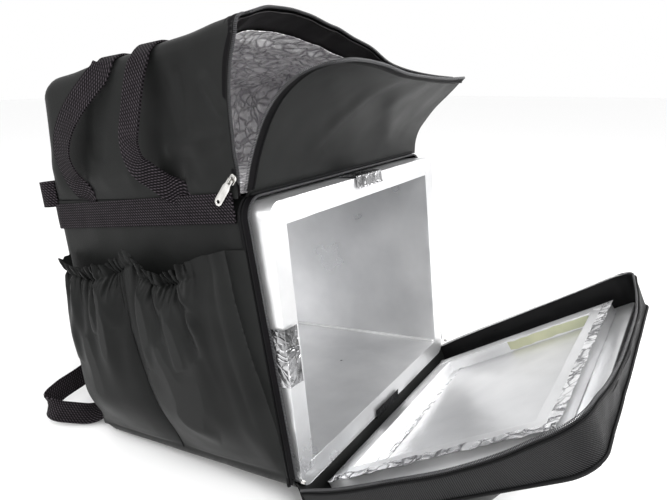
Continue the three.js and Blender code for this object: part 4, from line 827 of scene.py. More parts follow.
def foam_block(material):
    """The foam box: a block whose front is inset and pushed back, with soft foil-covered edges."""
    only_none()
    bpy.ops.mesh.primitive_cube_add(size=1.0)
    block = bpy.context.object
    block.name = "foam_block"
    size = Matrix.Diagonal((BOX_WIDTH, BOX_BACK - BOX_FRONT, BOX_HEIGHT, 1.0))
    block.data.transform(Matrix.Translation((0, (BOX_BACK + BOX_FRONT) / 2, BOX_HEIGHT / 2)) @ size)
    pick(block, edges=edges_along(block, 1))
    bpy.ops.mesh.bevel(offset=18.0, segments=6, affect="EDGES")
    bpy.ops.object.mode_set(mode="OBJECT")
    front = [f.index for f in block.data.polygons if f.normal.y < -0.9]
    pick(block, faces=front)
    bpy.ops.mesh.inset(thickness=BOX_WALL, use_even_offset=True)
    inner_depth = BOX_BACK - BOX_WALL - BOX_FRONT
    bpy.ops.mesh.extrude_region_move(TRANSFORM_OT_translate={"value": (0, inner_depth, 0)})
    bpy.ops.object.mode_set(mode="OBJECT")
    return finish_foil(block, material, 2.6, 9.0, 0.5, ["foam_box"])


def plate_fold(points):
    """Two soft ridges in the plug's foil, which run from its far corner at the hinge."""
    corner = np.array([PLUG_WIDTH / 2 - 40.0, -30.0])
    high = np.zeros(len(points))
    for end in ((-20.0, -PLUG_LENGTH + 40.0), (-PLUG_WIDTH / 2 + 60.0, -70.0)):
        run = np.array(end) - corner
        share = np.clip(((points[:, :2] - corner) @ run) / (run @ run), 0, 1)
        off = np.linalg.norm(points[:, :2] - corner - share[:, None] * run, axis=1)
        high = np.maximum(high, 2.2 * np.exp(-(off / 15.0) ** 2) * (1 - 0.6 * share))
    inside = smooth((PLUG_WIDTH / 2 - PLUG_WALL - 4 - np.abs(points[:, 0])) / 6)
    inside *= smooth((-PLUG_WALL - points[:, 1]) / 6) * smooth((points[:, 1] + PLUG_LENGTH - PLUG_WALL) / 6)
    return high * inside


def finish_foil(item, material, rounding, cell, dent, nodes, door=False):
    """Bevel a foil-covered block, cut it fine and let its foil buckle a little."""
    edge = item.modifiers.new("rounding", "BEVEL")
    edge.width = rounding
    edge.segments = 3
    edge.limit_method = "ANGLE"
    edge.angle_limit = math.radians(40)
    apply_modifiers(item)
    slice_fine(item, cell)
    count = len(item.data.vertices)
    points = np.empty(count * 3)
    normals = np.empty(count * 3)
    item.data.vertices.foreach_get("co", points)
    item.data.vertices.foreach_get("normal", normals)
    points, normals = points.reshape(-1, 3), normals.reshape(-1, 3)
    buckle = dent * (0.6 * noise(points, 70, 71) + 0.5 * noise(points, 24, 72))
    buckle -= dent * 1.2 * np.clip(creases(points + 9 * noise(points, 40, 73)[..., None], 90, 74)
                                   - 0.72, 0, 1)
    if door:
        buckle += plate_fold(points) * (normals[:, 2] > 0.9)
    moved = points + normals * buckle[:, None]
    if door:
        moved = from_door(moved)
    item.data.vertices.foreach_set("co", to_world(moved).ravel())
    item.data.update()
    item.data.materials.clear()
    item.data.materials.append(material)
    only(item)
    bpy.ops.object.shade_smooth_by_angle(angle=math.radians(38))
    for node in nodes:
        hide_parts(node)
    return item


def slice_fine(item, cell):
    """Cut a block with evenly spaced planes each way, so that its foil can buckle."""
    low = np.array(item.bound_box).min(0)
    high = np.array(item.bound_box).max(0)
    only(item)
    bpy.ops.object.mode_set(mode="EDIT")
    for axis in range(3):
        normal = tuple(1.0 if k == axis else 0.0 for k in range(3))
        for place in spaced(low[axis], high[axis], cell)[1:-1]:
            bpy.ops.mesh.select_all(action="SELECT")
            centre = tuple(float(place) if k == axis else 0.0 for k in range(3))
            bpy.ops.mesh.bisect(plane_co=centre, plane_no=normal)
    bpy.ops.object.mode_set(mode="OBJECT")


def shell_edge(foot, forward, outward_by):
    """A path round the shell's front edge, up the left side, over the top and down the right."""
    top, side = SHELL_TOP - SHELL_CORNER, HALF - SHELL_CORNER
    flat = [(-HALF, z, math.pi) for z in spaced(foot, top, 6.0)]
    for share in np.linspace(0, 1, 9)[1:]:
        angle = math.pi - share * math.pi / 2
        flat.append((SHELL_CORNER * math.cos(angle) - side, top + SHELL_CORNER * math.sin(angle), angle))
    flat += [(x, SHELL_TOP, math.pi / 2) for x in spaced(-side, side, 6.0)[1:]]
    for share in np.linspace(0, 1, 9)[1:]:
        angle = math.pi / 2 - share * math.pi / 2
        flat.append((SHELL_CORNER * math.cos(angle) + side, top + SHELL_CORNER * math.sin(angle), angle))
    flat += [(HALF, z, 0.0) for z in spaced(top, foot, 6.0)[1:]]
    x, z, angle = np.array(flat).T
    out = np.stack([np.cos(angle), np.zeros_like(angle), np.sin(angle)], -1)
    path = np.stack([x, front_edge(z) - forward, z], -1) + outward_by * out
    return path, out


def shell_zip(tape, teeth, trim):
    """The zip half round the lower mouth, with its piping, seam, tape and coil."""
    first, _ = shell_edge(SHELL_BOTTOM + 12, -6.5, 0.9)
    second, _ = shell_edge(SHELL_BOTTOM + 16, -1.6, 0.9)
    piping = tube("mouth_piping", first, 2.2, trim)
    seam = tube("mouth_seam", second, 1.5, trim, sides=8)
    foot = SHELL_BOTTOM + SHELL_CORNER
    places = ((-5.0, 0.5), (-1.0, 0.9), (2.0, 0.5), (4.6, 0.0))
    rails = [shell_edge(foot, forward, off)[0] for forward, off in places]
    band = cloth("mouth_zip_tape", np.array(rails), tape, 1.0)
    line, out = shell_edge(foot, 6.2, -0.2)
    wound = coil("mouth_zip_coil", line, out, teeth, radius=1.45)
    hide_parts("shell_piping")
    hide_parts("shell_piping")
    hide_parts("door_zip_shell")
    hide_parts("door_zip_shell")
    return piping, seam, band, wound


# Side pockets

POCKET_EDGE = [(0, 291), (0.06, 290), (0.14, 288), (0.24, 277), (0.36, 264), (0.46, 272), (0.55, 288),
               (0.62, 276), (0.7, 268), (0.8, 262), (0.9, 266), (1, 272)]
POCKET_FRONT = [(0, 3), (0.15, 2), (0.35, 10), (0.6, 22), (0.85, 29), (1, 31)]
POCKET_SEAM = [(0, 0.5), (0.25, 0.54), (0.5, 0.572), (0.75, 0.582), (1, 0.56)]
POCKET_RISE = [(0, 0), (0.1, 0.5), (0.28, 0.92), (0.5, 1), (0.7, 0.9), (0.86, 0.62), (0.94, 0.42), (1, 0.5)]


# Long folds of the pocket's cloth: y and z where each starts and ends, its width and its height
POCKET_CREASES = [(236, 258, 216, 186, 8, 7), (254, 258, 250, 176, 7, 6), (216, 262, 196, 190, 8, -8),
                  (152, 258, 160, 140, 9, 8), (126, 254, 98, 150, 9, 8), (106, 254, 70, 166, 8, -8),
                  (82, 258, 36, 140, 9, 9), (64, 258, 58, 196, 7, 7), (292, 250, 302, 130, 10, 8),
                  (274, 256, 272, 170, 8, -7), (140, 258, 130, 176, 7, -8), (110, 90, 60, 66, 12, 4),
                  (92, 240, 40, 196, 6, -6), (180, 250, 176, 120, 12, -5)]


def side_pocket(material, name, node):
    """Gathered pocket: two bellies with a seam between them, an elastic top and a ruffle over it."""
    columns, rows = 300, 118
    along = np.linspace(0, 1, columns)[None]
    up = np.linspace(0, 1, rows)[:, None]
    foot = mix(19.0, SHELL_BOTTOM + 21, along)
    top = profile(POCKET_EDGE, along)
    z = mix(foot, top, up)
    front = front_edge(z) + 4.4
    rear = SHELL_BACK - REAR_CORNER
    y = mix(front, rear, along)
    hem = front + profile(POCKET_FRONT, up)
    inner = np.clip((y - hem) / (rear - hem), 0, 1)
    seam = profile(POCKET_SEAM, up)
    second = inner > seam
    half = np.where(second, (inner - seam) / (1 - seam), inner / seam)
    belly = np.sin(math.pi * half).clip(0, 1) ** 0.5
    where = np.stack(np.broadcast_arrays(y, z, 0 * y), -1)
    wander = 0.05 * noise(where, 60, 81) + 0.02 * noise(where, 22, 82)
    phase = half + wander
    big = np.cos(2 * math.pi * 3.0 * phase + np.where(second, 0.6, 0)) * smooth((up - 0.25) / 0.6)
    mid = np.cos(2 * math.pi * 6.5 * phase + 1.0) * smooth((up - 0.55) / 0.35)
    fine = np.cos(2 * math.pi * 15.5 * phase + 2.0) * smooth((up - 0.78) / 0.14)
    elastic = np.exp(-((up - 0.935) / 0.012) ** 2)
    ruffle = smooth((up - 0.945) / 0.05)
    start = smooth((inner - 0.1) * 14) * smooth((1 - inner) * 26)
    folds = 3.8 * big * (1 - 0.7 * ruffle) + 2.2 * mid * (1 - 0.5 * ruffle) + (1.8 + 2.6 * ruffle) * fine
    sharp = creases(where + 12 * noise(where, 40, 84)[..., None], 58, 85)
    folds += 1.6 * noise(where, 46, 83) + 1.2 * sharp * (1 - up * 0.4)
    for start_y, start_z, end_y, end_z, width, height in POCKET_CREASES:
        run = np.array([end_y - start_y, end_z - start_z])
        share = np.clip(((y - start_y) * run[0] + (z - start_z) * run[1]) / (run @ run), 0, 1)
        off = np.hypot(y - start_y - share * run[0], z - start_z - share * run[1])
        swell = np.sin(math.pi * np.clip(share * 0.94 + 0.06, 0, 1)) ** 0.5
        folds += height * np.exp(-(off / width) ** 2) * swell
    ends = smooth(inner * 30) * smooth((1 - inner) * 22)
    depth = 21.0 * profile(POCKET_RISE, up) * belly + 14.0 * smooth(up / 0.3) * ends
    depth = depth + folds * start * np.clip(belly * 1.3, 0, 1)
    depth = depth - 4.0 * elastic * start + 2.5 * ruffle * start
    overhang = np.exp(-((inner - 0.05) / 0.03) ** 2) * smooth(up * 4) * smooth((0.93 - up) * 8)
    depth = depth + 2.5 * overhang
    strip = 0.9 * noise(where, 34, 86) + 0.8
    depth = np.where(y < hem, np.clip(strip, 0, 2), np.clip(depth, 0.6, 35))
    depth = depth * smooth(up * 30)
    z = z + ruffle * start * (2.6 * fine + 2.0 * noise(where, 9, 87)) + 1.2 * ruffle * start * mid
    slide = 1.2 * np.sin(2 * math.pi * 15.5 * phase) * smooth((up - 0.8) / 0.14) * start
    grid = np.stack(np.broadcast_arrays(-HALF - 1.9 - depth, y + slide, z), -1)
    made = cloth(name, grid, material, 1.1)
    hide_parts(node)
    return made


def pocket_seams(trim, name):
    """The sewn seam between the pocket's two bellies."""
    up = np.linspace(0.03, 0.93, 60)
    inner = profile(POCKET_SEAM, up)
    z = mix(19.0 * 0.5, 285, up)
    front = front_edge(z) + 4.4
    hem = front + profile(POCKET_FRONT, up)
    y = mix(hem, SHELL_BACK - REAR_CORNER, inner)
    x = -HALF - 2.6 - 13.0 * smooth(up / 0.3)
    return tube(name, np.stack([x, y, z], -1), 0.9, trim, sides=6)


# Webbing: the band, the carry handles and the corner tabs

def side_band(material):
    """The webbing round the sides and the rear, where hood and lower shell meet."""
    half, back, radius = HALF + 1.3, SHELL_BACK + 1.3, REAR_CORNER + 1.3
    front = EDGE_TOP + 8.6
    rows = [(-half, y, math.pi) for y in spaced(front, back - radius, 6.0)]
    for share in np.linspace(0, 1, 9)[1:]:
        angle = math.pi - share * math.pi / 2
        rows.append((radius - half + radius * math.cos(angle), back - radius + radius * math.sin(angle),
                     angle))
    rows += [(x, back, math.pi / 2) for x in spaced(radius - half, half - radius, 6.0)[1:]]
    for share in np.linspace(0, 1, 9)[1:]:
        angle = math.pi / 2 - share * math.pi / 2
        rows.append((half - radius + radius * math.cos(angle), back - radius + radius * math.sin(angle),
                     angle))
    rows += [(half, y, 0.0) for y in spaced(back - radius, front, 6.0)[1:]]
    x, y, _ = np.array(rows).T
    drop = 14.0 * np.clip((y - front) / (back - front), 0, 1)
    path = np.stack([x, y, SHELL_TOP - 9.5 - drop], -1)
    across = np.tile([0.0, 0.0, -1.0], (len(path), 1))

    def wave(grid):
        return 0.5 * noise(grid, 40, 91) + 0.25 * noise(grid, 13, 92)

    made = ribbon("side_webbing", path, across, 33.0, 2.0, material, step=3.0, cells=10, wave=wave)
    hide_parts("side_band")
    return made


# Legs of the carry handles, from the band up: distance out, height up the side, place from front to rear
FRONT_LEG = [(-0.04, -0.06, 0.235), (0.1, 0.02, 0.238), (0.35, 0.084, 0.297), (0.7, 0.154, 0.335),
             (0.95, 0.235, 0.379), (1.0, 0.372, 0.395), (0.95, 0.519, 0.373), (0.6, 0.776, 0.34),
             (0.3, 0.87, 0.33)]
REAR_LEG = [(-0.04, -0.06, 0.755), (0.1, 0.02, 0.748), (0.5, 0.156, 0.781), (0.9, 0.304, 0.779),
            (1.0, 0.422, 0.755), (0.95, 0.55, 0.705), (0.8, 0.66, 0.64), (0.45, 0.77, 0.575),
            (0.25, 0.82, 0.545)]


def roof_height(x, y):
    """How high the hood's roof is at a place, before its folds."""
    across = np.clip((x + HALF) / (2 * HALF), 0, 1)
    rear = float(hood_back(HOOD_FOOT + HOOD_REAR_RISE)) - HOOD_REAR_ROUND
    back = np.clip((y + HOOD_FRONT) / (rear + HOOD_FRONT), 0, 1)
    drop = HOOD_LIFT * profile(ROOF_LIFT, across) - EAR_DROP * profile(ROOF_DROP, across)
    rise = mix(HOOD_REAR_RISE, HOOD_RISE, profile(ROOF_LINE, back))
    return float(HOOD_FOOT + rise + drop * (1 - smooth(back / 0.6)))


def carry_handle(material, name, node):
    """Webbing from the band up the side and over onto the roof, where the grip lies flat."""
    def depth(share):
        return mix(EDGE_TOP, SHELL_BACK, share)

    grip, bend, turned = HALF - 96.0, 24.0, HOOD_BEND / 4

    def leg(rows):
        return [[-HALF - 1.3 - out * 22.0, depth(back), HOOD_FOOT + up * HOOD_RISE]
                for out, up, back in rows]

    def roof(x, y, lift):
        return [-x, y, roof_height(-x, y) + 3.8 + lift * 3.0]

    def over(y):
        return [[-HALF - turned, y, roof_height(-HALF, y) - turned + 0.6], roof(HALF - 3 * turned, y, 1),
                roof(mix(HALF, grip, 0.5), y, 0.3)]

    def bends(y, sign):
        out = []
        for k in range(4):
            angle = k / 3 * math.pi / 2
            out.append(roof(grip + bend - bend * math.sin(angle),
                            y + sign * (bend - bend * math.cos(angle)), 0))
        return out

    front, rear = depth(0.33), depth(0.525)
    points = leg(FRONT_LEG) + over(front) + bends(front, 1) + bends(rear, -1)[::-1] + over(rear)[::-1]
    points += leg(REAR_LEG)[::-1]
    path = catmull(points, 10)
    forward = np.gradient(path, axis=0)
    forward /= np.linalg.norm(forward, axis=1, keepdims=True)
    lying = smooth((path[:, 0] + HALF) / HOOD_BEND + 0.4)[:, None]
    out = np.concatenate([-(1 - lying), 0 * lying, lying], 1)
    across = np.cross(out, forward)
    across /= np.linalg.norm(across, axis=1, keepdims=True)

    def wave(grid):
        return 0.4 * noise(grid, 30, 95)

    made = ribbon(name, path, -across, 30.0, 2.0, material, cells=10, wave=wave)
    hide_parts(node)
    return made


def corner_tab(material, name, node):
    """A folded webbing loop that stands out of the rear corner."""
    start = REAR_CORNER * math.cos(math.pi / 8) + 1.9
    rows = []
    for angle, distance in ((-22, start), (-12, start + 10.8), (0, start + 18), (12, start + 10.8),
                            (22, start)):
        turn = math.radians(50 + angle)
        rows.append([REAR_CORNER - HALF - distance * math.cos(turn),
                     SHELL_BACK - REAR_CORNER + distance * math.sin(turn), 0])
    path = catmull(rows, 10)
    path[:, 2] = SHELL_TOP - 9.9 + 0.3 + 17
    across = np.tile([0.0, 0.0, -1.0], (len(path), 1))
    made = ribbon(name, path, across, 34.0, 1.8, material, step=2.0, cells=8)
    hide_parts(node)
    return made


# Shoulder straps and their tails

STRAP_ROWS = [(0.36, 0, 1.27), (0.362, 0.01, 1.235), (0.365, 0.03, 1.2), (0.38, 0.3, 1.08),
              (0.42, 0.8, 0.9), (0.48, 1, 0.66), (0.54, 1, 0.42), (0.57, 1, 0.34), (0.58, 1, 0.27)]
TAIL_ROWS = [(0.61, 0.74, 1.08, 0.25), (0.69, 0.86, 0.8, 0.65), (0.84, 0.95, 0.62, 0.95),
             (1, 1, 0.5, 1), (1.09, 0.96, 0.4, 0.95), (1.1, 0.78, 0.3, 0.8), (1.04, 0.5, 0.22, 0.55),
             (0.95, 0.25, 0.15, 0.35), (0.87, 0.12, 0.22, 0.1), (0.84, 0.03, 0.45, 0),
             (0.84, 0.004, 0.7, 0)]


def strap_centre():
    """The padded strap's middle line, from the top of the back down to its end."""
    points = []
    for across, behind, up in STRAP_ROWS:
        z = up * (SHELL_TOP - SHELL_BOTTOM)
        wall = float(hood_back(z)) if z > HOOD_FOOT else SHELL_BACK
        points.append([-across * HALF, wall + 5.3 + behind * 62.0, z])
    return points


def shoulder_strap(material, name, node):
    """A padded strap: crowned on both faces, thinner at its bound edges."""
    path = evenly(catmull(strap_centre(), 10), 4.0)
    forward = np.gradient(path, axis=0)
    forward /= np.linalg.norm(forward, axis=1, keepdims=True)
    side = np.array([1.0, 0, 0]) - forward[:, :1] * forward
    side /= np.linalg.norm(side, axis=1, keepdims=True)
    out = np.cross(side, forward)
    turn = np.linspace(0, 2 * math.pi, 44, endpoint=False)
    flat = np.sign(np.cos(turn)) * np.abs(np.cos(turn)) ** 0.8
    fat = np.sign(np.sin(turn)) * np.abs(np.sin(turn)) ** 0.7
    rings = []
    for k, at in enumerate(path):
        along = k / (len(path) - 1)
        width = 29.5 * (1 - 0.25 * smooth((along - 0.86) / 0.14))
        thick = 4.4 * (0.5 + 0.5 * smooth(min(along, 1 - along) * 14))
        rings.append(at + width * flat[:, None] * side[k] + thick * fat[:, None] * out[k])
    grid = np.array(rings)
    grid += 0.5 * noise(grid, 26, 101)[..., None] * out[:, None]
    count, ring = grid.shape[:2]
    index = np.arange(count * ring).reshape(count, ring)
    nxt = np.roll(index, -1, axis=1)
    faces = np.stack([index[:-1], nxt[:-1], nxt[1:], index[1:]], -1).reshape(-1, 4).tolist()
    faces += [index[0, ::-1].tolist(), index[-1].tolist()]
    uv = np.stack([np.repeat(np.arange(count) * 0.004, ring), np.tile(flat * 0.031, count)], -1)
    made = mesh_object(name, grid.reshape(-1, 3), faces, uv)
    made.data.materials.append(material)
    outward(made)
    puffed(made, 4.0, 4.0, 5.0, lambda p: np.ones(len(p)))
    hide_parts(node)
    return made


def strap_tail(material, name, node):
    """A folded cloth strip from the padded strap's end, round on the ground and back to the bag."""
    ground_y, ground_z, slope = HINGE_CORNER[1], HINGE_CORNER[2], math.tan(LEAN)
    end = np.array(strap_centre()[-1])
    points = [end + [0, -6.8, share * 22.0] for share in (1, 0.5, 0, -0.3)]
    turns = [0.0] * 4
    for across, behind, rise, turn in TAIL_ROWS:
        y = SHELL_BACK + 1.8 + behind * 78.0
        points.append(np.array([-across * HALF, y, ground_z + slope * (y - ground_y) + 2.5 + rise * 72.0]))
        turns.append(turn)
    path = catmull(points, 8)
    turn = np.interp(np.linspace(0, len(turns) - 1, len(path)), np.arange(len(turns)), turns) * math.pi / 2
    upright = np.array([0.0, slope, 1.0])
    upright = upright / np.linalg.norm(upright)
    across = np.cos(turn)[:, None] * np.array([1.0, 0, 0]) + np.sin(turn)[:, None] * upright

    def wave(grid):
        return 0.8 * noise(grid, 34, 105) + 0.3 * noise(grid, 12, 106)

    made = ribbon(name, path, across, 31.0, 2.4, material, cells=10, wave=wave)
    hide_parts(node)
    return made


# Door: drawn flat, y back to the hinge and z up from the plug's face, then hung open

PANEL_TOP = -GUSSET_BASE
PANEL_BOTTOM = PANEL_TOP - 2.0
HINGE_CORNER = from_door([0.0, DOOR_HINGE, PANEL_BOTTOM])
NEAR_SIDE = [(0, 1, 0), (0.1, 0.6, 0), (0.24, 0.32, 0), (0.42, 0.2, 0), (0.62, 0.06, 0.5), (0.8, 0.25, 1),
             (0.9, 0.5, 1.5), (1, 0.95, 2)]
FAR_END = [(0, 1.2, 5), (0.12, 0.7, 6), (0.25, 0.35, 6), (0.38, 0.15, 6), (0.55, 0.1, 6),
           (0.7, 0.15, 6), (0.85, 0.6, 5), (1, 1.45, 3)]
FAR_SIDE = [(0, 1, 0), (0.15, 1.2, 0), (0.5, 1.33, 0), (0.9, 1.45, 0), (1, 1.5, 1)]


def gusset_line():
    """Places round the door's edge: x, y, outward angle, rim height and outward lean."""
    straight = DOOR_LENGTH - DOOR_CORNER
    start = DOOR_HINGE - GUSSET_SETBACK
    side = HALF - DOOR_CORNER
    rows = []

    def pair(table, share):
        height = profile([(row[0], row[1]) for row in table], share)
        lean = profile([(row[0], row[2]) for row in table], share)
        return float(height), float(lean)

    for share in np.linspace(0, 1, 72):
        rows.append((-HALF, mix(start, -straight, share), math.pi, *pair(NEAR_SIDE, share)))
    for corner, before, after in ((-1, NEAR_SIDE, FAR_END), (1, FAR_END, FAR_SIDE)):
        if corner == 1:
            for share in np.linspace(0, 1, 96):
                rows.append((mix(-side, side, share), -DOOR_LENGTH, 1.5 * math.pi, *pair(FAR_END, share)))
        first = before[-1][1:]
        second = (after if corner == -1 else FAR_SIDE[::-1])[0][1:]
        for share in np.linspace(0, 1, 15)[1:-1]:
            angle = (math.pi if corner < 0 else 1.5 * math.pi) + share * math.pi / 2
            rows.append((corner * side + DOOR_CORNER * math.cos(angle),
                         DOOR_CORNER - DOOR_LENGTH + DOOR_CORNER * math.sin(angle), angle,
                         mix(first[0], second[0], share), mix(first[1], second[1], share)))
    for share in np.linspace(1, 0, 72):
        rows.append((HALF, mix(DOOR_HINGE, -straight, share), 2 * math.pi, *pair(FAR_SIDE, share)))
    rows = np.array(rows)
    weight = np.hanning(17)[1:-1]
    for column in (3, 4):
        padded = np.pad(rows[:, column], 7, mode="edge")
        rows[:, column] = np.convolve(padded, weight / weight.sum(), mode="valid")
    return rows


def gusset_grid(levels=26):
    line = gusset_line()
    x, y, angle, height, lean = line.T
    level = np.linspace(0, 1, levels)[:, None]
    out = lean * 2.0 * smooth(level)
    z = mix(PANEL_TOP + 0.3, height * GUSSET_RISE, level)
    grid = np.stack([x + out * np.cos(angle), y + out * np.sin(angle), z], -1)
    away = np.stack([np.cos(angle), np.sin(angle), 0 * angle], -1)
    slack = 1.2 * noise(grid, 42, 111) + 0.7 * noise(grid, 18, 112)
    grid = grid + (slack * np.sin(math.pi * level) ** 0.7)[..., None] * away
    return grid, away


def door_gusset(outside, inside, trim):
    """The door's sides: ribbed cloth outside, a smooth lining inside and a seam at the foot."""
    grid, away = gusset_grid()
    uv = grid_uvs(grid)
    turned = 0.9 * smooth((uv[..., 0] - 0.2) / 0.16)
    uv[..., 0] += turned * uv[..., 1]
    made = cloth("door_side_cloth", from_door(grid), outside, 1.0, flip=False, uvs=uv)
    inner = grid - away * 1.25
    wrinkle = 0.5 * noise(inner, 20, 115) + 0.4
    lined = cloth("door_side_lining", from_door(inner - away * np.clip(wrinkle, 0, 1.2)[..., None]),
                  inside, 0.6, flip=False)
    foot = grid[1] + away * 1.2
    seam = tube("door_foot_seam", from_door(foot), 1.7, trim, sides=8)
    for piece in (made, lined, seam):
        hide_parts("door_gusset")
    return made, lined, seam


def door_zip(tape, teeth, trim):
    """The zip half round the door's edge, with its binding, tape and coil."""
    grid, away = gusset_grid()
    rim = grid[-1]
    up = rim - grid[-3]
    up /= np.linalg.norm(up, axis=1, keepdims=True)
    line = from_door(rim + up * 1.4 + away * -0.4)
    binding = tube("door_rim_binding", from_door(rim - up * 3.0 + away * 0.9), 1.5, trim, sides=8)
    rails = np.array([from_door(rim - up * d - away * 1.9) for d in (9.0, 5.0, 1.0)])
    band = cloth("door_zip_tape", rails, tape, 0.8, flip=True)
    wound = coil("door_zip_coil", line, from_door(rim + away) - from_door(rim), teeth, radius=1.45)
    for piece in (binding, band, wound):
        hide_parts("door_zip_door")
    return binding, band, wound


def door_panel(material):
    """The door's outer cloth, which hangs a little slack between its seams."""
    x = spaced(-HALF, HALF, 4.5)
    y = spaced(-DOOR_LENGTH, DOOR_HINGE, 4.5)
    gx, gy = np.meshgrid(x, y)
    low = np.clip((DOOR_CORNER - DOOR_LENGTH) - gy, 0, None)
    shrink = DOOR_CORNER * (1 - np.sqrt(np.clip(1 - (low / DOOR_CORNER) ** 2, 0, 1)))
    gx = gx * (HALF - shrink) / HALF
    flat = np.stack([gx, gy, 0 * gx], -1)
    slack = 0.5 * noise(flat, 60, 121) + 0.3 * noise(flat, 22, 122)
    grid = np.stack([gx, gy, PANEL_BOTTOM + 0.6 + np.clip(slack, -0.5, 0.8)], -1)
    made = cloth("door_cloth", from_door(grid), material, 1.2, flip=True)
    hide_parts("door_panel")
    return made


POUCH_LONG = [(0, 0), (0.1, 0.55), (0.24, 0.95), (0.38, 1), (0.54, 0.84), (0.7, 0.62), (0.82, 0.42),
              (0.92, 0.22), (1, 0)]
POUCH_WIDE = [(0, 1), (0.5, 0.97), (0.82, 0.78), (0.95, 0.42), (1, 0)]
POUCH_START, POUCH_END, POUCH_HALF = 25.0, 249.0, 192.0


def pouch_depth():
    """How far the pouch may hang before it reaches the ground."""
    slope = math.tan(DOOR_TILT + LEAN)
    length = POUCH_END - POUCH_START
    return min((POUCH_START + a * length + DOOR_HINGE) * slope / d for a, d in POUCH_LONG if d > 0) - 0.3


def door_pouch(material):
    """The slack cloth pouch on the door's outer face, which hangs to the ground."""
    away = np.linspace(0, 1, 64)[:, None]
    across = np.linspace(-1, 1, 110)[None]
    deep = pouch_depth() * profile(POUCH_LONG, away) * profile(POUCH_WIDE, np.abs(across))
    gx, gy = np.broadcast_arrays(across * POUCH_HALF, -POUCH_START - away * (POUCH_END - POUCH_START))
    flat = np.stack([gx, gy, 0 * gx], -1)
    folds = 1.6 * noise(flat, 55, 131) + 1.2 * creases(flat + 14 * noise(flat, 50, 133)[..., None], 70, 132)
    deep = deep - np.clip(folds + 1.4, 0, 5) * smooth(deep / 14)
    grid = np.stack([gx, gy, PANEL_BOTTOM - 0.5 - deep], -1)
    made = cloth("door_slack_pouch", from_door(grid), material, 1.3, flip=True)
    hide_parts("door_pouch")
    return made


def hinge_strip(material):
    """The cloth hinge, which follows the shell's rounded corners at both ends."""
    x = spaced(3 - HALF, HALF - 3, 4.0)
    past = np.clip(np.abs(x) - (HALF - SHELL_CORNER), 0, SHELL_CORNER)
    start_z = SHELL_BOTTOM + 2.5 + SHELL_CORNER - np.sqrt(SHELL_CORNER ** 2 - past ** 2)
    start_y = front_edge(start_z) - 1.3
    end_y = HINGE_CORNER[1] + 2 * math.sin(DOOR_TILT)
    end_z = HINGE_CORNER[2] + 2 * math.cos(DOOR_TILT) + 0.8
    share = np.linspace(0, 1, 26)[:, None]
    down = share ** 1.15
    y = mix(start_y[None], end_y, share) + np.sin(math.pi * share) * 1.5
    grid = np.stack([np.broadcast_to(x[None], y.shape), y, mix(start_z[None], end_z, down)], -1)
    grid[..., 1] += np.sin(math.pi * share) * noise(grid, 30, 141)
    made = cloth("hinge_cloth", grid, material, 1.4)
    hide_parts("hinge_strip")
    return made


def slab(name, left, right, front, back, low, high, corner):
    """A flat block with rounded upright corners, ready to be shaped in edit mode."""
    only_none()
    bpy.ops.mesh.primitive_cube_add(size=1.0)
    block = bpy.context.object
    block.name = name
    size = Matrix.Diagonal((right - left, back - front, high - low, 1.0))
    middle = ((left + right) / 2, (front + back) / 2, (low + high) / 2)
    block.data.transform(Matrix.Translation(middle) @ size)
    pick(block, edges=edges_along(block, 2))
    bpy.ops.mesh.bevel(offset=corner, segments=4, affect="EDGES")
    bpy.ops.object.mode_set(mode="OBJECT")
    return block


def door_board(material):
    """The door's foil-covered board, which carries the plug."""
    half = PLUG_WIDTH / 2 + 24
    low = PANEL_TOP + 0.3
    block = slab("door_backing_board", BOARD_SHIFT - half, BOARD_SHIFT + half, -PLUG_LENGTH - 24, 22, low,
                 low + BOARD_THICKNESS, 8.0)
    return finish_foil(block, material, 1.6, 9.0, 0.5, ["door_board"], door=True)


def door_plug(material):
    """The ring of foil-covered foam: a slab whose top is inset and pushed down to the board."""
    half = PLUG_WIDTH / 2
    low = PANEL_TOP + 0.6 + BOARD_THICKNESS
    block = slab("door_foam_plug", BOARD_SHIFT - half, BOARD_SHIFT + half, -PLUG_LENGTH, 14.0, low,
                 low + PLUG_HEIGHT, 3.0)
    top = [f.index for f in block.data.polygons if f.normal.z > 0.9]
    pick(block, faces=top)
    bpy.ops.mesh.inset(thickness=PLUG_WALL, use_even_offset=True)
    bpy.ops.mesh.extrude_region_move(TRANSFORM_OT_translate={"value": (0, 0, 1.2 - PLUG_HEIGHT)})
    bpy.ops.object.mode_set(mode="OBJECT")
    return finish_foil(block, material, 1.6, 8.0, 0.55, ["door_plug"], door=True)


# Foil clips over the box's rim

def rim_clip(material, name, node, across, up, turn, back_leg, reach, crumple):
    """A strip of foil folded over the rim: one leg on its face, one back along the box's side."""
    line = [(back_leg, -1.6), (back_leg * 0.5, -1.8), (0, -1.8), (-1.8, -1.6), (-2.0, 1.0),
            (-2.0, reach * 0.45), (-2.3, reach * 0.9), (-3.0, reach)]
    path = catmull([[0, a, b] for a, b in line], 7)
    x = spaced(-34, 34, 1.7)
    grid = np.stack([np.broadcast_to(x[None], (len(path), len(x))),
                     np.broadcast_to(path[:, 1:2], (len(path), len(x))),
                     np.broadcast_to(path[:, 2:3], (len(path), len(x)))], -1).copy()
    out = grid_normals(grid)
    if out[len(path) // 2, 10, 1] > 0:
        out = -out
    rough = crumple * (np.clip(creases(grid + 4 * noise(grid, 12, 151)[..., None], 13, 152), -0.3, 1)
                       + 0.4 * noise(grid, 5, 153))
    grid = grid + out * np.clip(rough, -0.2, 2.2)[..., None]
    angle = turn
    c, s = math.cos(angle), math.sin(angle)
    turned = np.stack([grid[..., 0] * c + grid[..., 2] * s, grid[..., 1],
                       grid[..., 2] * c - grid[..., 0] * s], -1)
    turned += np.array([across * BOX_WIDTH / 2, BOX_FRONT, up * BOX_HEIGHT])
    made = cloth(name, turned, material, 0.6, flip=True)
    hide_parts(node)
    return made


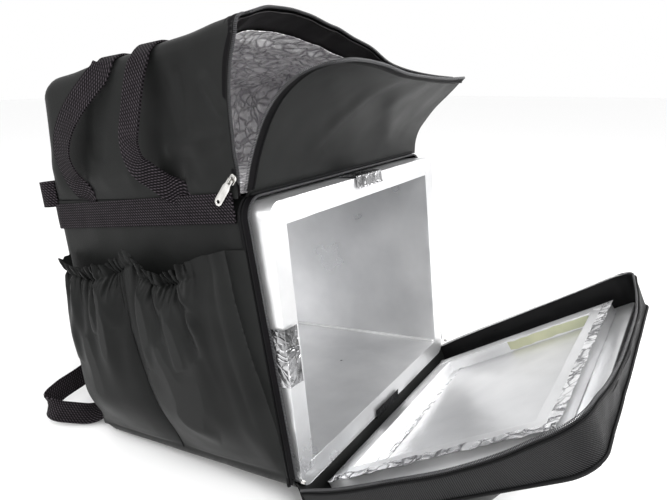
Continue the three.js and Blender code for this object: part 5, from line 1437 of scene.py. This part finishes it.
def zip_metal(material):
    """The slider, its pull and the zip's end stops, with worn, rounded edges."""
    made = []
    for node, name, width in (("zip_slider", "slider_body", 0.45), ("zip_pull", "pull_tab", 0.35),
                              ("zip_stop_left", "stop_left", 0.5), ("zip_stop_right", "stop_right", 0.5)):
        item = bpy.data.objects.new(name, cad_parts[node].data.copy())
        bpy.context.collection.objects.link(item)
        only(item)
        bpy.ops.object.mode_set(mode="EDIT")
        bpy.ops.mesh.select_all(action="SELECT")
        bpy.ops.mesh.remove_doubles(threshold=1e-5)
        bpy.ops.mesh.dissolve_limited(angle_limit=math.radians(2))
        bpy.ops.object.mode_set(mode="OBJECT")
        edge = item.modifiers.new("rounding", "BEVEL")
        edge.width = width / 1000
        edge.segments = 3
        edge.limit_method = "ANGLE"
        edge.angle_limit = math.radians(35)
        apply_modifiers(item)
        bpy.ops.object.shade_smooth_by_angle(angle=math.radians(40))
        item.data.materials.clear()
        item.data.materials.append(material)
        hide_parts(node)
        made.append(item)
    return made


# Foil tape over the seams of the plug

def foil_tape(material, name, node, start, end, across, width, lift, crumple, door=True):
    """A crumpled strip of foil tape from start to end, across giving the way of its width."""
    start, end, across = (np.asarray(v, float) for v in (start, end, across))
    length = float(np.linalg.norm(end - start))
    forward = (end - start) / length
    out = np.cross(forward, across)
    if out[2] < 0:
        out = -out
    along = spaced(0, length, 1.6)
    places = np.linspace(-0.5, 0.5, 15)
    grid = start + along[None, :, None] * forward + places[:, None, None] * width * across
    rough = crumple * (0.5 * noise(grid, 9, 161) + 0.9 * np.clip(creases(grid, 17, 162), 0, 1))
    ragged = 1.2 * noise(grid * np.array([1, 1, 0]), 11, 163)
    grid = grid + across * (np.abs(places) > 0.45)[:, None, None] * ragged[..., None]
    grid = grid + out * (lift + np.clip(rough, 0, 3))[..., None]
    made = cloth(name, from_door(grid) if door else grid, material, 0.3)
    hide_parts(node)
    return made


def door_tapes(material, pale):
    """The tapes on the plug's rim and inside it, each from a start to an end."""
    half = PLUG_WIDTH / 2
    near, far = BOARD_SHIFT - half, BOARD_SHIFT + half
    top = PANEL_TOP + 0.6 + BOARD_THICKNESS + PLUG_HEIGHT
    end = -PLUG_LENGTH
    inner = top - PLUG_HEIGHT + 1.6
    right, up = (1.0, 0, 0), (0, 0, 1.0)
    ahead = (0, 1.0, 0)
    wall = PLUG_WALL
    return [foil_tape(material, "plug_tape_near", "door_plug", (near + 3, 6, top),
                      (near + 3, end + 4, top), right, 15, 0.5, 1.5),
            foil_tape(material, "plug_tape_end", "door_plug", (near + 8, end + 3, top),
                      (far - 6, end + 3, top), ahead, 14, 0.5, 1.3),
            foil_tape(material, "plug_tape_hinge", "door_plug", (near + 8, -wall - 3, inner),
                      (far - wall, -wall - 3, inner), ahead, 9, 0.3, 0.5),
            foil_tape(material, "plug_tape_inner", "door_plug", (near + wall + 3, -wall, inner),
                      (near + wall + 3, end + wall, inner), right, 9, 0.3, 0.7),
            foil_tape(pale, "plug_tape_far", "door_plug", (far - wall - 0.5, -wall - 96, top - 8),
                      (far - wall - 0.5, end + wall + 4, top - 8), up, 13, 0.4, 0.1)]


# Effects that several finishes share, as shader node groups

def group_tree(name, inputs, outputs):
    """An empty shader node group with named sockets, and its two end nodes."""
    tree = bpy.data.node_groups.new(name, "ShaderNodeTree")
    for label, kind, value in inputs:
        socket = tree.interface.new_socket(label, in_out="INPUT", socket_type=kind)
        if kind == "NodeSocketFloat":
            socket.default_value = value
    for label in outputs:
        tree.interface.new_socket(label, in_out="OUTPUT", socket_type="NodeSocketFloat")
    return tree, tree.nodes.new("NodeGroupInput"), tree.nodes.new("NodeGroupOutput")


def math_node(tree, operation, first, second=None):
    node = tree.nodes.new("ShaderNodeMath")
    node.operation = operation
    for k, value in enumerate((first, second)):
        if value is None:
            continue
        if isinstance(value, (int, float)):
            node.inputs[k].default_value = value
        else:
            tree.links.new(value, node.inputs[k])
    return node.outputs[0]


def noise_node(tree, vector, scale, detail=3.0, roughness=0.55):
    node = tree.nodes.new("ShaderNodeTexNoise")
    node.inputs["Detail"].default_value = detail
    node.inputs["Roughness"].default_value = roughness
    tree.links.new(vector, node.inputs["Vector"])
    if isinstance(scale, (int, float)):
        node.inputs["Scale"].default_value = scale
    else:
        tree.links.new(scale, node.inputs["Scale"])
    return node.outputs["Fac"]


def wave_of(tree, distance, per_metre):
    """A smooth wave along a distance, with per_metre crests to the metre, from 0 to 1."""
    turn = math_node(tree, "MULTIPLY", math_node(tree, "MULTIPLY", distance, per_metre), 2 * math.pi)
    return math_node(tree, "MULTIPLY_ADD", math_node(tree, "SINE", turn), 0.5)


def plain_weave():
    """Threads over and under each other, with a few thicker threads."""
    tree, start, end = group_tree("plain_weave",
                                  [("Vector", "NodeSocketVector", None),
                                   ("Threads", "NodeSocketFloat", 900.0)], ["Height", "Mask"])
    parts = tree.nodes.new("ShaderNodeSeparateXYZ")
    tree.links.new(start.outputs["Vector"], parts.inputs[0])
    warp = wave_of(tree, parts.outputs["X"], start.outputs["Threads"])
    weft = wave_of(tree, parts.outputs["Y"], start.outputs["Threads"])
    over = math_node(tree, "ABSOLUTE", math_node(tree, "SUBTRACT", warp, weft))
    slub = noise_node(tree, start.outputs["Vector"], 260.0, 2.0)
    tree.links.new(math_node(tree, "ADD", math_node(tree, "MULTIPLY", over, 0.5), slub),
                   end.inputs["Height"])
    tree.links.new(over, end.inputs["Mask"])
    return tree


def twill_webbing():
    """Webbing: slanting ribs of round threads. Its mask paints highlight specks on the thread crests and shade
    in the gaps between them.
    """
    tree, start, end = group_tree("twill_webbing",
                                  [("Vector", "NodeSocketVector", None),
                                   ("Ribs", "NodeSocketFloat", 300.0),
                                   ("Slant", "NodeSocketFloat", 0.8)], ["Height", "Mask"])
    parts = tree.nodes.new("ShaderNodeSeparateXYZ")
    tree.links.new(start.outputs["Vector"], parts.inputs[0])
    leaning = math_node(tree, "MULTIPLY", parts.outputs["Y"], start.outputs["Slant"])
    rib = wave_of(tree, math_node(tree, "ADD", parts.outputs["X"], leaning), start.outputs["Ribs"])
    thread = wave_of(tree, parts.outputs["Y"], 300.0)
    dotted = math_node(tree, "MULTIPLY", rib,
                       math_node(tree, "ADD", math_node(tree, "MULTIPLY", thread, 0.7), 0.3))
    # Patchy strength of the painted highlight specks.
    worn = math_node(tree, "ADD", noise_node(tree, start.outputs["Vector"], 70.0, 2.0), 0.3)
    tree.links.new(math_node(tree, "ADD", rib, math_node(tree, "MULTIPLY", thread, 0.35)),
                   end.inputs["Height"])
    # The mask: painted highlight specks on the crests, painted shade in the gaps.
    tree.links.new(math_node(tree, "MULTIPLY", math_node(tree, "POWER", dotted, 1.8), worn),
                   end.inputs["Mask"])
    return tree


def spacer_mesh():
    """Open knitted mesh: small round holes side by side."""
    tree, start, end = group_tree("spacer_mesh",
                                  [("Vector", "NodeSocketVector", None),
                                   ("Holes", "NodeSocketFloat", 380.0)], ["Height", "Mask"])
    cells = tree.nodes.new("ShaderNodeTexVoronoi")
    tree.links.new(start.outputs["Vector"], cells.inputs["Vector"])
    tree.links.new(start.outputs["Holes"], cells.inputs["Scale"])
    tree.links.new(cells.outputs["Distance"], end.inputs["Height"])
    # The mask is low in the holes; as colour it paints shade there.
    tree.links.new(cells.outputs["Distance"], end.inputs["Mask"])
    return tree


def ribbed_cloth():
    """Coarse ribs across a strip, not quite even."""
    tree, start, end = group_tree("ribbed_cloth",
                                  [("Vector", "NodeSocketVector", None),
                                   ("Ribs", "NodeSocketFloat", 400.0),
                                   ("Slant", "NodeSocketFloat", 0.2)], ["Height", "Mask"])
    parts = tree.nodes.new("ShaderNodeSeparateXYZ")
    tree.links.new(start.outputs["Vector"], parts.inputs[0])
    leaning = math_node(tree, "MULTIPLY", parts.outputs["Y"], start.outputs["Slant"])
    rib = wave_of(tree, math_node(tree, "ADD", parts.outputs["X"], leaning), start.outputs["Ribs"])
    tree.links.new(rib, end.inputs["Height"])
    # The mask follows the ribs; as colour it paints highlight on crests and shade in grooves.
    tree.links.new(rib, end.inputs["Mask"])
    return tree


def foil_crinkle():
    """Small sharp creases in foil, with soft dents between them."""
    tree, start, end = group_tree("foil_crinkle",
                                  [("Vector", "NodeSocketVector", None),
                                   ("Size", "NodeSocketFloat", 30.0),
                                   ("Dents", "NodeSocketFloat", 0.5)], ["Height", "Mask"])
    warp = tree.nodes.new("ShaderNodeTexNoise")
    warp.inputs["Scale"].default_value = 18.0
    warp.inputs["Detail"].default_value = 2.0
    tree.links.new(start.outputs["Vector"], warp.inputs["Vector"])
    push = tree.nodes.new("ShaderNodeVectorMath")
    push.operation = "MULTIPLY_ADD"
    push.inputs[1].default_value = (0.06, 0.06, 0.06)
    tree.links.new(warp.outputs["Color"], push.inputs[0])
    tree.links.new(start.outputs["Vector"], push.inputs[2])
    cells = tree.nodes.new("ShaderNodeTexVoronoi")
    cells.feature = "DISTANCE_TO_EDGE"
    tree.links.new(push.outputs[0], cells.inputs["Vector"])
    tree.links.new(start.outputs["Size"], cells.inputs["Scale"])
    ridge = math_node(tree, "MINIMUM", cells.outputs["Distance"], 0.16)
    dents = math_node(tree, "MULTIPLY", noise_node(tree, start.outputs["Vector"], 34.0, 3.0),
                      start.outputs["Dents"])
    tree.links.new(math_node(tree, "ADD", math_node(tree, "MULTIPLY", ridge, 3.0), dents),
                   end.inputs["Height"])
    # The mask falls to 0 along the creases; as colour it paints shade there.
    tree.links.new(math_node(tree, "MULTIPLY", ridge, 6.25), end.inputs["Mask"])
    return tree


def wear_and_painted_reflection_tone():
    """Where a surface is a little brighter or darker: broad patches, rubbed spots and specks of fluff. In
    crumpled_foil the patches paint dark reflections; in the lining the specks paint its dotted texture as
    sparkle.
    """
    tree, start, end = group_tree("wear_and_painted_reflection_tone",
                                  [("Vector", "NodeSocketVector", None),
                                   ("Size", "NodeSocketFloat", 9.0), ("Lint and sparkle", "NodeSocketFloat", 0.15)],
                                  ["Mask"])
    broad = noise_node(tree, start.outputs["Vector"], start.outputs["Size"], 4.0)
    fine = noise_node(tree, start.outputs["Vector"], 420.0, 2.0)
    spots = tree.nodes.new("ShaderNodeMapRange")
    spots.inputs["From Min"].default_value = 0.66
    spots.inputs["From Max"].default_value = 0.8
    tree.links.new(fine, spots.inputs["Value"])
    # Fine specks: fluff on cloth, painted sparkle on the lining.
    lint_and_sparkle = math_node(tree, "MULTIPLY", spots.outputs[0], start.outputs["Lint and sparkle"])
    tree.links.new(math_node(tree, "ADD", broad, lint_and_sparkle), end.inputs["Mask"])
    return tree


GROUPS = {"weave": plain_weave(), "webbing": twill_webbing(), "mesh": spacer_mesh(),
          "ribs": ribbed_cloth(), "foil": foil_crinkle()}
TONE = wear_and_painted_reflection_tone()


def finish(name, dark, light, rough, pattern, values, strength, depth, by_uv=True, tone_size=9.0,
           lint_and_sparkle=0.1, shade=0.0, own=None, wear=1.0):
    """A material: two colours mixed by a worn tone (painted dark reflections in crumpled_foil) and, where
    shade is given, by the pattern's mask as painted light and shade; a roughness range, and a bump from one
    pattern.
    """
    made = bpy.data.materials.new(name)
    made.use_nodes = True
    tree = made.node_tree
    shader = tree.nodes["Principled BSDF"]
    for label, value in (own or {}).items():
        shader.inputs[label].default_value = value
    place = tree.nodes.new("ShaderNodeTexCoord")
    surface = tree.nodes.new("ShaderNodeGroup")
    surface.node_tree = GROUPS[pattern]
    tree.links.new(place.outputs["UV" if by_uv else "Object"], surface.inputs["Vector"])
    for label, value in values.items():
        surface.inputs[label].default_value = value
    tone = tree.nodes.new("ShaderNodeGroup")
    tone.node_tree = TONE
    tone.inputs["Size"].default_value = tone_size
    tone.inputs["Lint and sparkle"].default_value = lint_and_sparkle
    tree.links.new(place.outputs["Object"], tone.inputs["Vector"])
    spread = tree.nodes.new("ShaderNodeMapRange")
    spread.inputs["From Min"].default_value = 0.34
    spread.inputs["From Max"].default_value = 0.68
    tree.links.new(tone.outputs["Mask"], spread.inputs["Value"])
    share = spread.outputs[0]
    # With shade, the pattern's mask paints light and shade into the colour: brighter crests and cells, darker
    # creases, gaps and holes.
    if shade:
        worn = math_node(tree, "MULTIPLY", share, wear)
        middle = 0.5 if wear == 1.0 else 0.0
        lighter = math_node(tree, "MULTIPLY",
                            math_node(tree, "SUBTRACT", surface.outputs["Mask"], middle), shade)
        share = math_node(tree, "ADD", worn, lighter)
        tree.nodes[-1].use_clamp = True
    colour = tree.nodes.new("ShaderNodeMix")
    colour.data_type = "RGBA"
    colour.inputs["A"].default_value = (*dark, 1.0)
    colour.inputs["B"].default_value = (*light, 1.0)
    tree.links.new(share, colour.inputs["Factor"])
    tree.links.new(colour.outputs["Result"], shader.inputs["Base Color"])
    gloss = tree.nodes.new("ShaderNodeMapRange")
    gloss.inputs["To Min"].default_value = rough[0]
    gloss.inputs["To Max"].default_value = rough[1]
    tree.links.new(spread.outputs[0], gloss.inputs["Value"])
    tree.links.new(gloss.outputs[0], shader.inputs["Roughness"])
    bump = tree.nodes.new("ShaderNodeBump")
    bump.inputs["Strength"].default_value = strength
    bump.inputs["Distance"].default_value = depth
    tree.links.new(surface.outputs["Height"], bump.inputs["Height"])
    tree.links.new(bump.outputs["Normal"], shader.inputs["Normal"])
    return made


nylon = finish("charcoal_cloth", (0.0025, 0.0027, 0.0026), (0.0085, 0.009, 0.0087), (0.42, 0.56),
               "weave", {"Threads": 900.0}, 0.3, 0.0003,
               own={"Specular IOR Level": 0.15, "Sheen Weight": 0.01})
# Black webbing: the near-black is painted shade between the ribs, the brighter colour painted highlight specks
# on the rib crests.
webbing = finish("black_webbing", (0.0006, 0.0005, 0.0008), (0.062, 0.052, 0.060), (0.5, 0.66),
                 "webbing", {"Ribs": 235.0, "Slant": 0.9}, 1.0, 0.0015, shade=1.5,
                 own={"Specular IOR Level": 0.06}, wear=0.06)
tape_cloth = finish("zip_tape_cloth", (0.0012, 0.0010, 0.0014), (0.004, 0.0035, 0.0042), (0.6, 0.75),
                    "ribs", {"Ribs": 620.0, "Slant": 0.0}, 0.5, 0.0004,
                    own={"Specular IOR Level": 0.08})
teeth = finish("coil_nylon", (0.02, 0.02, 0.022), (0.06, 0.06, 0.064), (0.3, 0.4), "foil",
               {"Size": 300.0}, 0.05, 0.0001, by_uv=False, own={"Specular IOR Level": 0.6})
trim = finish("binding_tape", (0.0012, 0.0012, 0.0014), (0.0035, 0.0035, 0.004), (0.5, 0.65), "ribs",
              {"Ribs": 700.0, "Slant": 0.6}, 0.6, 0.0005, own={"Specular IOR Level": 0.12})
facing = finish("mouth_facing_cloth", (0.003, 0.0026, 0.003), (0.009, 0.0075, 0.0085), (0.5, 0.65),
                "weave", {"Threads": 800.0}, 0.4, 0.0003, own={"Specular IOR Level": 0.25})
# Ribbed door sides: brighter rib crests and near-black grooves, painted highlight and shade.
side_ribs = finish("door_side_ribbed", (0.001, 0.001, 0.0012), (0.030, 0.030, 0.031), (0.45, 0.6),
                   "ribs", {"Ribs": 400.0, "Slant": 0.0}, 0.9, 0.0012, shade=1.3,
                   own={"Specular IOR Level": 0.1}, wear=0.1)
side_lining = finish("door_side_smooth", (0.0018, 0.0018, 0.002), (0.0045, 0.0045, 0.005), (0.36, 0.48),
                     "weave", {"Threads": 900.0}, 0.2, 0.0002, own={"Specular IOR Level": 0.2})
# Padded mesh: darker in its holes, painted shade.
padding = finish("padded_mesh_cloth", (0.003, 0.003, 0.0033), (0.012, 0.012, 0.0125), (0.6, 0.75), "mesh",
                 {"Holes": 380.0}, 0.6, 0.0007, by_uv=False, shade=0.8, own={"Specular IOR Level": 0.15})
foil = finish("box_foil", (0.61, 0.615, 0.625), (0.84, 0.84, 0.845), (0.26, 0.42), "foil",
              {"Size": 7.0, "Dents": 0.9}, 0.2, 0.002, by_uv=False, tone_size=5.0,
              own={"Metallic": 0.78})
seam_foil = finish("seam_foil", (0.62, 0.62, 0.62), (0.75, 0.75, 0.75), (0.3, 0.4), "foil",
                   {"Size": 60.0}, 0.4, 0.001, by_uv=False, own={"Metallic": 0.4})
pale_foil = finish("pale_yellow_foil", (0.46, 0.48, 0.33), (0.66, 0.66, 0.46), (0.35, 0.45), "foil",
                   {"Size": 12.0, "Dents": 0.5}, 0.2, 0.001, by_uv=False, own={"Metallic": 0.5})
# Crumpled tape: darker along the crinkle creases, painted shade.
tape_foil = finish("crumpled_tape", (0.18, 0.18, 0.19), (0.86, 0.86, 0.87), (0.2, 0.34), "foil",
                   {"Size": 60.0, "Dents": 0.8}, 0.7, 0.002, by_uv=False, tone_size=34.0, shade=0.9,
                   own={"Metallic": 0.75})
# Clip foil: its near-black colour, mixed in by the tone patches, is a painted dark reflection in the
# mirror-like foil.
clip_foil = finish("crumpled_foil", (0.006, 0.006, 0.007), (0.62, 0.62, 0.63), (0.14, 0.26), "foil",
                   {"Size": 85.0, "Dents": 0.7}, 0.8, 0.0022, by_uv=False, tone_size=22.0,
                   own={"Metallic": 0.9})
# The bottom clip: the same foil clip, painted near-black as the shade it lies in.
clip_in_shade = finish("clip_foil_painted_shade", (0.002, 0.002, 0.0025), (0.008, 0.008, 0.009), (0.35, 0.5), "foil",
                   {"Size": 85.0, "Dents": 0.6}, 0.5, 0.0015, by_uv=False, tone_size=40.0,
                   own={"Specular IOR Level": 0.1})
# Foil lining: darker along the crinkle creases as painted shade, with fine bright specks as painted sparkle
# over its dotted texture.
lining = finish("foil_lining_cloth", (0.56, 0.54, 0.57), (1.0, 0.99, 1.0), (0.2, 0.34), "foil",
                {"Size": 52.0, "Dents": 1.2}, 1.0, 0.006, by_uv=False, tone_size=30.0, lint_and_sparkle=0.6, shade=1.0,
                own={"Metallic": 0.12})
nickel = finish("nickel_plate", (0.50, 0.49, 0.47), (0.72, 0.71, 0.69), (0.16, 0.28), "foil",
                {"Size": 120.0}, 0.05, 0.0002, by_uv=False, tone_size=120.0, own={"Metallic": 1.0})


# Making the pieces

def mirrored(item, name, node):
    """The same piece on the bag's other side, with a mesh of its own."""
    made = bpy.data.objects.new(name, item.data.copy())
    made.data.name = name
    bpy.context.collection.objects.link(made)
    made.data.transform(Matrix.Scale(-1.0, 4, Vector((1.0, 0.0, 0.0))))
    made.data.flip_normals()
    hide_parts(node)
    return made


made = {"nylon": [], "webbing": [], "zip": [], "padding": [], "foil": [], "lining": [], "nickel": []}

made["nylon"] += [lower_skin(nylon), back_cloth(nylon), upper_shell(nylon)]
made["padding"] += [
    back_pad(padding, "back_pad_left", -178, -14, 58, 318, 9, (0.28, 0.62)),
    back_pad(padding, "back_pad_right", 14, 178, 58, 318, 9, (0.28, 0.62)),
]
made["foil"] += [foam_block(foil)]
made["webbing"] += [upper_facing(facing)]
made["lining"] += [upper_lining(lining), lining_floor(lining)]
made["zip"] += [*upper_zip(tape_cloth, teeth, trim), *shell_zip(tape_cloth, teeth, trim)]
flap_pieces = front_flap(nylon, trim)
made["nylon"] += [*flap_pieces]
made["zip"] += [*flap_zip(tape_cloth, teeth, trim)]

pocket = side_pocket(nylon, "pocket_left", "side_pocket_left")
pocket_right = mirrored(pocket, "pocket_right", "side_pocket_right")
seam_left = pocket_seams(trim, "pocket_seam_left")
seam_right = mirrored(seam_left, "pocket_seam_right", "side_pocket_right")
made["nylon"] += [pocket, pocket_right, seam_left, seam_right]

made["webbing"] += [side_band(webbing)]
for make, name in ((carry_handle, "handle"), (corner_tab, "corner_tab"), (strap_tail, "strap_tail")):
    left = make(webbing, name + "_webbing_left", name + "_left")
    right = mirrored(left, name + "_webbing_right", name + "_right")
    made["webbing"] += [left, right]
strap_left = shoulder_strap(padding, "strap_padded_left", "shoulder_strap_left")
strap_right = mirrored(strap_left, "strap_padded_right", "shoulder_strap_right")
made["padding"] += [strap_left, strap_right]

made["nylon"] += [door_panel(nylon), door_pouch(nylon), hinge_strip(nylon)]
made["webbing"] += [*door_gusset(side_ribs, side_lining, trim)]
made["zip"] += [*door_zip(tape_cloth, teeth, trim)]
made["foil"] += [door_board(foil), door_plug(foil)]
made["foil"] += [
    rim_clip(clip_foil, "clip_foil_left", "rim_clip_left", -1.0, 0.49, math.pi / 2, 24.0, 20.0, 1.0),
    rim_clip(clip_foil, "clip_foil_top", "rim_clip_top", 0.0, 1.0, math.pi, 24.0, 14.0, 0.8),
    # The bottom clip is painted with shade.
    rim_clip(clip_in_shade, "clip_foil_bottom", "rim_clip_bottom", 0.0, 0.0, 0.0, 6.0, 12.0, 0.3),
]
made["foil"] += door_tapes(tape_foil, pale_foil)
floor_edge = [(BOX_WIDTH / 2 - BOX_WALL - 1.0, y, BOX_WALL + 1.0)
              for y in (BOX_FRONT + 3.0, BOX_BACK - BOX_WALL)]
box_seam = tube("box_floor_seam", floor_edge, 2.2, seam_foil, sides=10)
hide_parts("foam_box")
made["foil"] += [box_seam]
metal = zip_metal(nickel)
made["nickel"] += metal

for slot, pieces in made.items():
    for piece in pieces:
        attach(piece, "pull" if piece.name == "pull_tab" else "bag")


# Floor, light and camera

bpy.ops.object.select_all(action="DESELECT")
bpy.ops.mesh.primitive_plane_add(size=30.0, location=(0.0, 0.0, -0.0015))
floor = bpy.context.object
floor.name = "floor"
floor_finish = bpy.data.materials.new("floor_white")
floor_finish.use_nodes = True
floor_shader = floor_finish.node_tree.nodes["Principled BSDF"]
floor_shader.inputs["Base Color"].default_value = (0.96, 0.96, 0.96, 1.0)
floor_shader.inputs["Roughness"].default_value = 0.9
floor.data.materials.append(floor_finish)

world = bpy.data.worlds.new("studio")
bpy.context.scene.world = world
world.use_nodes = True
world.node_tree.nodes["Background"].inputs["Color"].default_value = (1.0, 1.0, 1.0, 1.0)
world.node_tree.nodes["Background"].inputs["Strength"].default_value = 1.0


def area_light(name, place, aim, size, watts):
    """A square soft light at a place, turned towards its aim."""
    lamp = bpy.data.lights.new(name, "AREA")
    lamp.size = size
    lamp.energy = watts
    light = bpy.data.objects.new(name, lamp)
    bpy.context.collection.objects.link(light)
    light.location = place
    light.rotation_euler = (Vector(aim) - Vector(place)).to_track_quat("-Z", "Y").to_euler()


area_light("soft_key", (-1.4, -1.9, 2.2), (0.0, 0.0, 0.3), 1.1, 55.0)
area_light("soft_side", (-2.2, 1.0, 1.5), (0.0, 0.0, 0.3), 1.6, 18.0)
area_light("soft_front", (-0.9, -1.7, 0.9), (0.0, 0.05, 0.4), 0.8, 14.0)
area_light("soft_fill", (1.8, -1.6, 1.3), (0.0, 0.0, 0.3), 1.4, 14.0)
area_light("soft_mouth", (0.75, -0.75, 0.95), (-0.2, 0.0, 0.47), 0.5, 7.0)

camera_data = bpy.data.cameras.new("photo_view")
camera_data.lens = 31.4896
camera_data.sensor_width = 36.0
camera_data.sensor_fit = "HORIZONTAL"
camera = bpy.data.objects.new("photo_view", camera_data)
camera.location = (-0.68152431, -0.41454245, 0.50307389)
camera.rotation_euler = tuple(math.radians(a) for a in (73.50997751, 0.37339115, -58.19568221))
bpy.context.collection.objects.link(camera)
bpy.context.scene.camera = camera
bpy.context.scene.view_settings.view_transform = "Standard"
